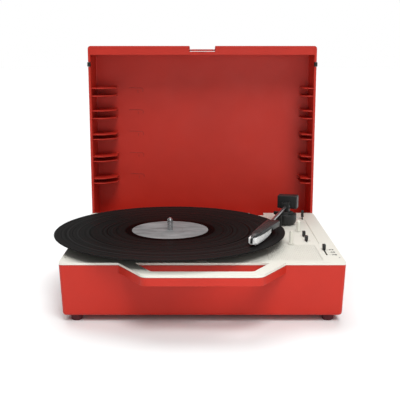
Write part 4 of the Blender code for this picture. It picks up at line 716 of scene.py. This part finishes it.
mat_felt = new_finish("mat_felt", (0.022, 0.022, 0.023), 0.95, Sheen_Weight=0.3)
tree = mat_felt.node_tree
place = put(tree, "ShaderNodeTexCoord")
fuzz = put(tree, "ShaderNodeTexNoise", {"Vector": place.outputs["Object"], "Scale": 1500.0,
                                        "Detail": 6.0, "Roughness": 0.8})
felt_tone = put(tree, "ShaderNodeMix", {"Factor": fuzz.outputs["Fac"],
                                        "A": (0.012, 0.012, 0.012, 1),
                                        "B": (0.045, 0.045, 0.047, 1)}, data_type="RGBA")
feed(mat_felt, "Base Color", felt_tone.outputs["Result"])
nap = put(tree, "ShaderNodeBump", {"Height": fuzz.outputs["Fac"], "Distance": 0.0003})
feed(mat_felt, "Normal", nap.outputs["Normal"])
finish_nodes(mat_felt, "slip_mat")


def brushed_metal(name, colour, roughness, stretch, spread=0.12):
    """Metal with fine lines from drawing or turning, stretched along one axis."""
    material = new_finish(name, colour, roughness, 1.0)
    tree = material.node_tree
    place = put(tree, "ShaderNodeTexCoord")
    pulled = put(tree, "ShaderNodeMapping", {"Vector": place.outputs["Object"],
                                             "Scale": stretch})
    lines = put(tree, "ShaderNodeTexNoise", {"Vector": pulled.outputs["Vector"], "Scale": 1.0,
                                             "Detail": 4.0, "Roughness": 0.7})
    polish = put(tree, "ShaderNodeMapRange", {"Value": lines.outputs["Fac"], "From Min": 0.3,
                                              "From Max": 0.7, "To Min": roughness - spread / 2,
                                              "To Max": roughness + spread / 2})
    darker = tuple(channel * 0.82 for channel in colour)
    tint = put(tree, "ShaderNodeMix", {"Factor": lines.outputs["Fac"], "A": (*darker, 1),
                                       "B": (*colour, 1)}, data_type="RGBA")
    scratch = put(tree, "ShaderNodeBump", {"Height": lines.outputs["Fac"], "Strength": 0.25,
                                           "Distance": 0.00002})
    feed(material, "Base Color", tint.outputs["Result"])
    feed(material, "Roughness", polish.outputs["Result"])
    feed(material, "Normal", scratch.outputs["Normal"])
    return material


turned_steel = brushed_metal("turned_steel", (0.60, 0.60, 0.61), 0.24, (300, 300, 4000))
finish_nodes(turned_steel, "spindle", "stylus", "arm_pivot_pin", "hinge_pin_left",
             "hinge_pin_right")
turned_brass = brushed_metal("turned_brass", (0.72, 0.50, 0.20), 0.26, (300, 300, 5000))
finish_nodes(turned_brass, "motor_pulley", "spindle_bearing")
can_steel = brushed_metal("can_steel", (0.50, 0.50, 0.51), 0.34, (2500, 2500, 120))
finish_nodes(can_steel, "motor", "speaker_frame")


def rubber(name, colour, roughness):
    material = new_finish(name, colour, roughness, Specular_IOR_Level=0.3)
    tree = material.node_tree
    place = put(tree, "ShaderNodeTexCoord")
    bloom = put(tree, "ShaderNodeTexNoise", {"Vector": place.outputs["Object"], "Scale": 180.0,
                                             "Detail": 5.0})
    paler = tuple(channel * 1.6 + 0.006 for channel in colour)
    cast = put(tree, "ShaderNodeMix", {"Factor": bloom.outputs["Fac"], "A": (*colour, 1),
                                       "B": (*paler, 1)}, data_type="RGBA")
    dusty = add_group(tree, light_dust, {"Colour": cast.outputs["Result"], "Amount": 0.2,
                                         "Roughness": roughness})
    texture = add_group(tree, moulded_grain, {"Scale": 3000.0, "Coarse Share": 0.2})
    relief = put(tree, "ShaderNodeBump", {"Height": texture.outputs["Height"], "Strength": 0.5,
                                          "Distance": 0.00005})
    feed(material, "Base Color", dusty.outputs["Colour"])
    feed(material, "Roughness", dusty.outputs["Roughness"])
    feed(material, "Normal", relief.outputs["Normal"])
    return material


black_rubber = rubber("black_rubber", (0.012, 0.012, 0.012), 0.8)
finish_nodes(black_rubber, "drive_belt", "lid_bumper_left", "lid_bumper_right")

# ---- Feet --------------------------------------------------------------------------------------
# Four short feet in dark red rubber are glued into the corners of the base's underside. They are
# all that touches the table.
foot_rubber = rubber("foot_rubber", (0.060, 0.009, 0.012), 0.7)
finish_nodes(foot_rubber, "foot_front_left", "foot_front_right", "foot_rear_left",
             "foot_rear_right")

# ---- Tonearm -----------------------------------------------------------------------------------
# A straight steel tube runs from a black moulded pivot block, with its counterweight behind, to a
# black headshell. The pivot sits on a turned black pedestal, and the cue bar curves round it.
# The arm's black parts take more of the paler edge colour: partly rubbed in use, partly a painted
# highlight on their edges.
arm_black = moulded_plastic("arm_black", (0.016, 0.017, 0.017), (0.10, 0.11, 0.105), 0.40,
                            edge_radius=0.0006, wear_and_highlight=0.8, dust=0.05, Specular_IOR_Level=0.35)
finish_nodes(arm_black, "arm_pedestal", "arm_yoke", "arm_neck", "counterweight", "cue_lift",
             "cue_lever")
tube_steel = brushed_metal("tube_steel", (0.52, 0.50, 0.51), 0.30, (900, 60, 900))
finish_nodes(tube_steel, "arm_tube")

# ---- Headshell and cartridge -------------------------------------------------------------------
# The headshell is a ribbed black wedge that narrows forward. Under it clips a white cartridge with
# a faceted nose, whose lower edges are chamfered up towards its heel.
cartridge_white = moulded_plastic("cartridge_white", (0.86, 0.86, 0.85), (0.9, 0.9, 0.9), 0.38,
                                  edge_radius=0.0005, dust=0.03, drift=0.03,
                                  Specular_IOR_Level=0.4)
pivot = Vector(hinges["arm_lift"]["pos_m"])
TUBE_LENGTH = 0.105
SHELL_SIDE = 0.0050
ARM_TURN = math.radians(-17.0)   # from straight ahead, at rest
SHELL_TURN = math.radians(-5.8)  # the headshell's own, on top of the arm's
shell_place = (Matrix.Translation(pivot) @ Matrix.Rotation(ARM_TURN, 4, "Z")
               @ Matrix.Translation((SHELL_SIDE, -TUBE_LENGTH, 0))
               @ Matrix.Rotation(SHELL_TURN, 4, "Z"))
SHELL_LOW, SHELL_HIGH = -0.0035, 0.0037
CLIP_EDGE = -0.0006              # lower edge of the shell where the cartridge clips in
PRONG_HALF = 0.0014              # half the prong's width
CARTRIDGE_LOW = -0.0104
WAIST_SHARE = 0.24               # the cartridge's widest line, as a share of its height


def add_stations(form, stations):
    """Joins a run of cross-sections, each a list of points with the same count, and caps it."""
    rings = [[form.verts.new(point) for point in station] for station in stations]
    count = len(rings[0])
    for ring, following in zip(rings, rings[1:]):
        for index in range(count):
            form.faces.new((ring[index], ring[(index + 1) % count],
                            following[(index + 1) % count], following[index]))
    form.faces.new(rings[0])
    form.faces.new(rings[-1][::-1])


def shell_section(y, half, low, high, round_off=0.0011):
    """One slice of the headshell: square below, rounded on its two top edges."""
    return [(-half, y, low), (half, y, low), (half, y, high - round_off),
            (half - round_off * 0.3, y, high - round_off * 0.3), (half - round_off, y, high),
            (-half + round_off, y, high), (-half + round_off * 0.3, y, high - round_off * 0.3),
            (-half, y, high - round_off)]


def fill_headshell(form):
    slices = [(0.0, 0.0060, SHELL_LOW + 0.0008, SHELL_HIGH - 0.0008),
              (-0.0008, 0.0064, SHELL_LOW, SHELL_HIGH - 0.0002),
              (-0.0050, 0.0086, SHELL_LOW, SHELL_HIGH),
              (-0.0290, 0.0074, SHELL_LOW, SHELL_HIGH),
              (-0.0296, 0.0074, CLIP_EDGE, SHELL_HIGH),
              (-0.0550, 0.0060, CLIP_EDGE, SHELL_HIGH - 0.0003),
              (-0.0740, 0.0047, CLIP_EDGE, SHELL_HIGH - 0.0010),
              (-0.0810, 0.0036, CLIP_EDGE, SHELL_HIGH - 0.0018),
              (-0.0840, 0.0027, CLIP_EDGE, SHELL_HIGH - 0.0028)]
    add_stations(form, [shell_section(*piece) for piece in slices])
    # three ribs run down the top and converge with the sides
    for share in (-0.55, 0.0, 0.55):
        rib = []
        for y, half, low, high in slices[2:7]:
            rib.append(Vector((share * (half - 0.0014), y - 0.0015, high)))
        add_bar(form, rib, 0.0009, -0.0004, 0.00045)
    # a ledge stands proud along each lower edge, where the cartridge clips on
    for side in (-1, 1):
        ledge = [Vector((side * (half + 0.0002), y, low + 0.0009))
                 for y, half, low, high in slices[4:7]]
        add_bar(form, ledge, 0.0008, -0.0006, 0.0006)
    # the prong hooks over the cartridge's nose
    prong = [(-0.0820, -0.0014, 0.0006), (-0.0862, -0.0022, 0.0002), (-0.0888, -0.0034, -0.0012),
             (-0.0897, -0.0052, -0.0040), (-0.0897, -0.0075, -0.0064)]
    add_stations(form, [[(-PRONG_HALF, y, low), (PRONG_HALF, y, low),
                         (PRONG_HALF, y - 0.0006, high), (-PRONG_HALF, y - 0.0006, high)]
                        for y, low, high in prong])
    for vertex in form.verts:
        vertex.co = shell_place @ vertex.co


ribbed_headshell = joined_piece("ribbed_headshell", fill_headshell, arm_black, "tonearm")
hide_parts("headshell")


def fill_cartridge(form):
    high, low = CLIP_EDGE - 0.0009, CARTRIDGE_LOW
    middle = (high + low) / 2
    slices = [(-0.0302, 0.0054, 0.0054, 0.0048, middle - 0.0006),
              (-0.0310, 0.0059, 0.0059, 0.0052, middle - 0.0014),
              (-0.0400, 0.0059, 0.0059, 0.0050, low + 0.0008),
              (-0.0560, 0.0059, 0.0059, 0.0050, low),
              (-0.0760, 0.0059, 0.0059, 0.0050, low),
              (-0.0810, 0.0056, 0.0059, 0.0044, low),
              (-0.0855, 0.0050, 0.0052, 0.0034, low + 0.0005),
              (-0.0885, 0.0040, 0.0042, 0.0026, low + 0.0018)]
    stations = []
    for y, top, side, foot, bottom in slices:
        waist = bottom + (high - bottom) * WAIST_SHARE
        stations.append([(-foot, y, bottom), (foot, y, bottom), (side, y, waist),
                         (top, y, high), (-top, y, high), (-side, y, waist)])
    add_stations(form, stations)
    for vertex in form.verts:
        vertex.co = shell_place @ vertex.co


faceted_cartridge = joined_piece("faceted_cartridge", fill_cartridge, cartridge_white, "tonearm",
                                 smooth=False)
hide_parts("cartridge")

# ---- Controls ----------------------------------------------------------------------------------
# Three slide knobs are snapped on the levers of slide switches under the deck. They are glossier
# than the rest of the black parts, from handling.
knob_black = moulded_plastic("knob_black", (0.010, 0.010, 0.011), (0.06, 0.06, 0.06), 0.25,
                             edge_radius=0.0005, dust=0.05)
finish_nodes(knob_black, "volume_knob", "auto_stop_knob", "speed_knob")

# ---- Hinges ------------------------------------------------------------------------------------
# The lid's two arms and the pressed brackets that hold them inside the base are zinc-plated
# steel with a crystal spangle. The four case screws have the same plating.
spangle = new_finish("spangle", (0.55, 0.56, 0.57), 0.4, 1.0)
tree = spangle.node_tree
place = put(tree, "ShaderNodeTexCoord")
crystals = put(tree, "ShaderNodeTexVoronoi", {"Vector": place.outputs["Object"], "Scale": 260.0})
zinc = put(tree, "ShaderNodeMix", {"Factor": crystals.outputs["Distance"],
                                   "A": (0.42, 0.43, 0.45, 1), "B": (0.62, 0.63, 0.64, 1)},
           data_type="RGBA")
dull = put(tree, "ShaderNodeMapRange", {"Value": crystals.outputs["Distance"], "To Min": 0.3,
                                        "To Max": 0.5})
feed(spangle, "Base Color", zinc.outputs["Result"])
feed(spangle, "Roughness", dull.outputs["Result"])
finish_nodes(spangle, "hinge_bracket_left", "hinge_bracket_right", "hinge_arm_left",
             "hinge_arm_right", "case_screw_1", "case_screw_2", "case_screw_3", "case_screw_4")

# ---- Electrics ---------------------------------------------------------------------------------
# Two green boards carry the switches and the amplifier, and the loudspeaker has a paper cone.
# Of the four sockets two are black, and the line outputs are white for left and red for right.
board_green = new_finish("board_green", (0.015, 0.13, 0.05), 0.4)
tree = board_green.node_tree
place = put(tree, "ShaderNodeTexCoord")
tracks = put(tree, "ShaderNodeTexBrick", {"Vector": place.outputs["Object"], "Scale": 160.0,
                                          "Color1": (0.012, 0.11, 0.04, 1),
                                          "Color2": (0.018, 0.15, 0.06, 1),
                                          "Mortar": (0.06, 0.30, 0.14, 1),
                                          "Mortar Size": 0.05})
feed(board_green, "Base Color", tracks.outputs["Color"])
raised = put(tree, "ShaderNodeBump", {"Height": tracks.outputs["Fac"], "Distance": 0.00005})
feed(board_green, "Normal", raised.outputs["Normal"])
finish_nodes(board_green, "control_board", "amplifier_board")

cone_paper = new_finish("cone_paper", (0.035, 0.035, 0.036), 0.9)
tree = cone_paper.node_tree
place = put(tree, "ShaderNodeTexCoord")
pulp = put(tree, "ShaderNodeTexNoise", {"Vector": place.outputs["Object"], "Scale": 700.0,
                                        "Detail": 6.0})
cone_tone = put(tree, "ShaderNodeMix", {"Factor": pulp.outputs["Fac"], "A": (0.02, 0.02, 0.02, 1),
                                        "B": (0.06, 0.06, 0.062, 1)}, data_type="RGBA")
feed(cone_paper, "Base Color", cone_tone.outputs["Result"])
pulp_bump = put(tree, "ShaderNodeBump", {"Height": pulp.outputs["Fac"], "Distance": 0.0002})
feed(cone_paper, "Normal", pulp_bump.outputs["Normal"])
finish_nodes(cone_paper, "speaker_cone")

socket_black = moulded_plastic("socket_black", (0.015, 0.015, 0.016), (0.07, 0.07, 0.07), 0.42,
                               edge_radius=0.0004)
finish_nodes(socket_black, "headphone_jack", "power_inlet")
socket_white = moulded_plastic("socket_white", (0.75, 0.74, 0.72), (0.8, 0.8, 0.8), 0.42,
                               edge_radius=0.0004)
finish_nodes(socket_white, "line_out_left")
socket_red = moulded_plastic("socket_red", (0.50, 0.015, 0.015), (0.6, 0.1, 0.1), 0.42,
                             edge_radius=0.0004)
finish_nodes(socket_red, "line_out_right")
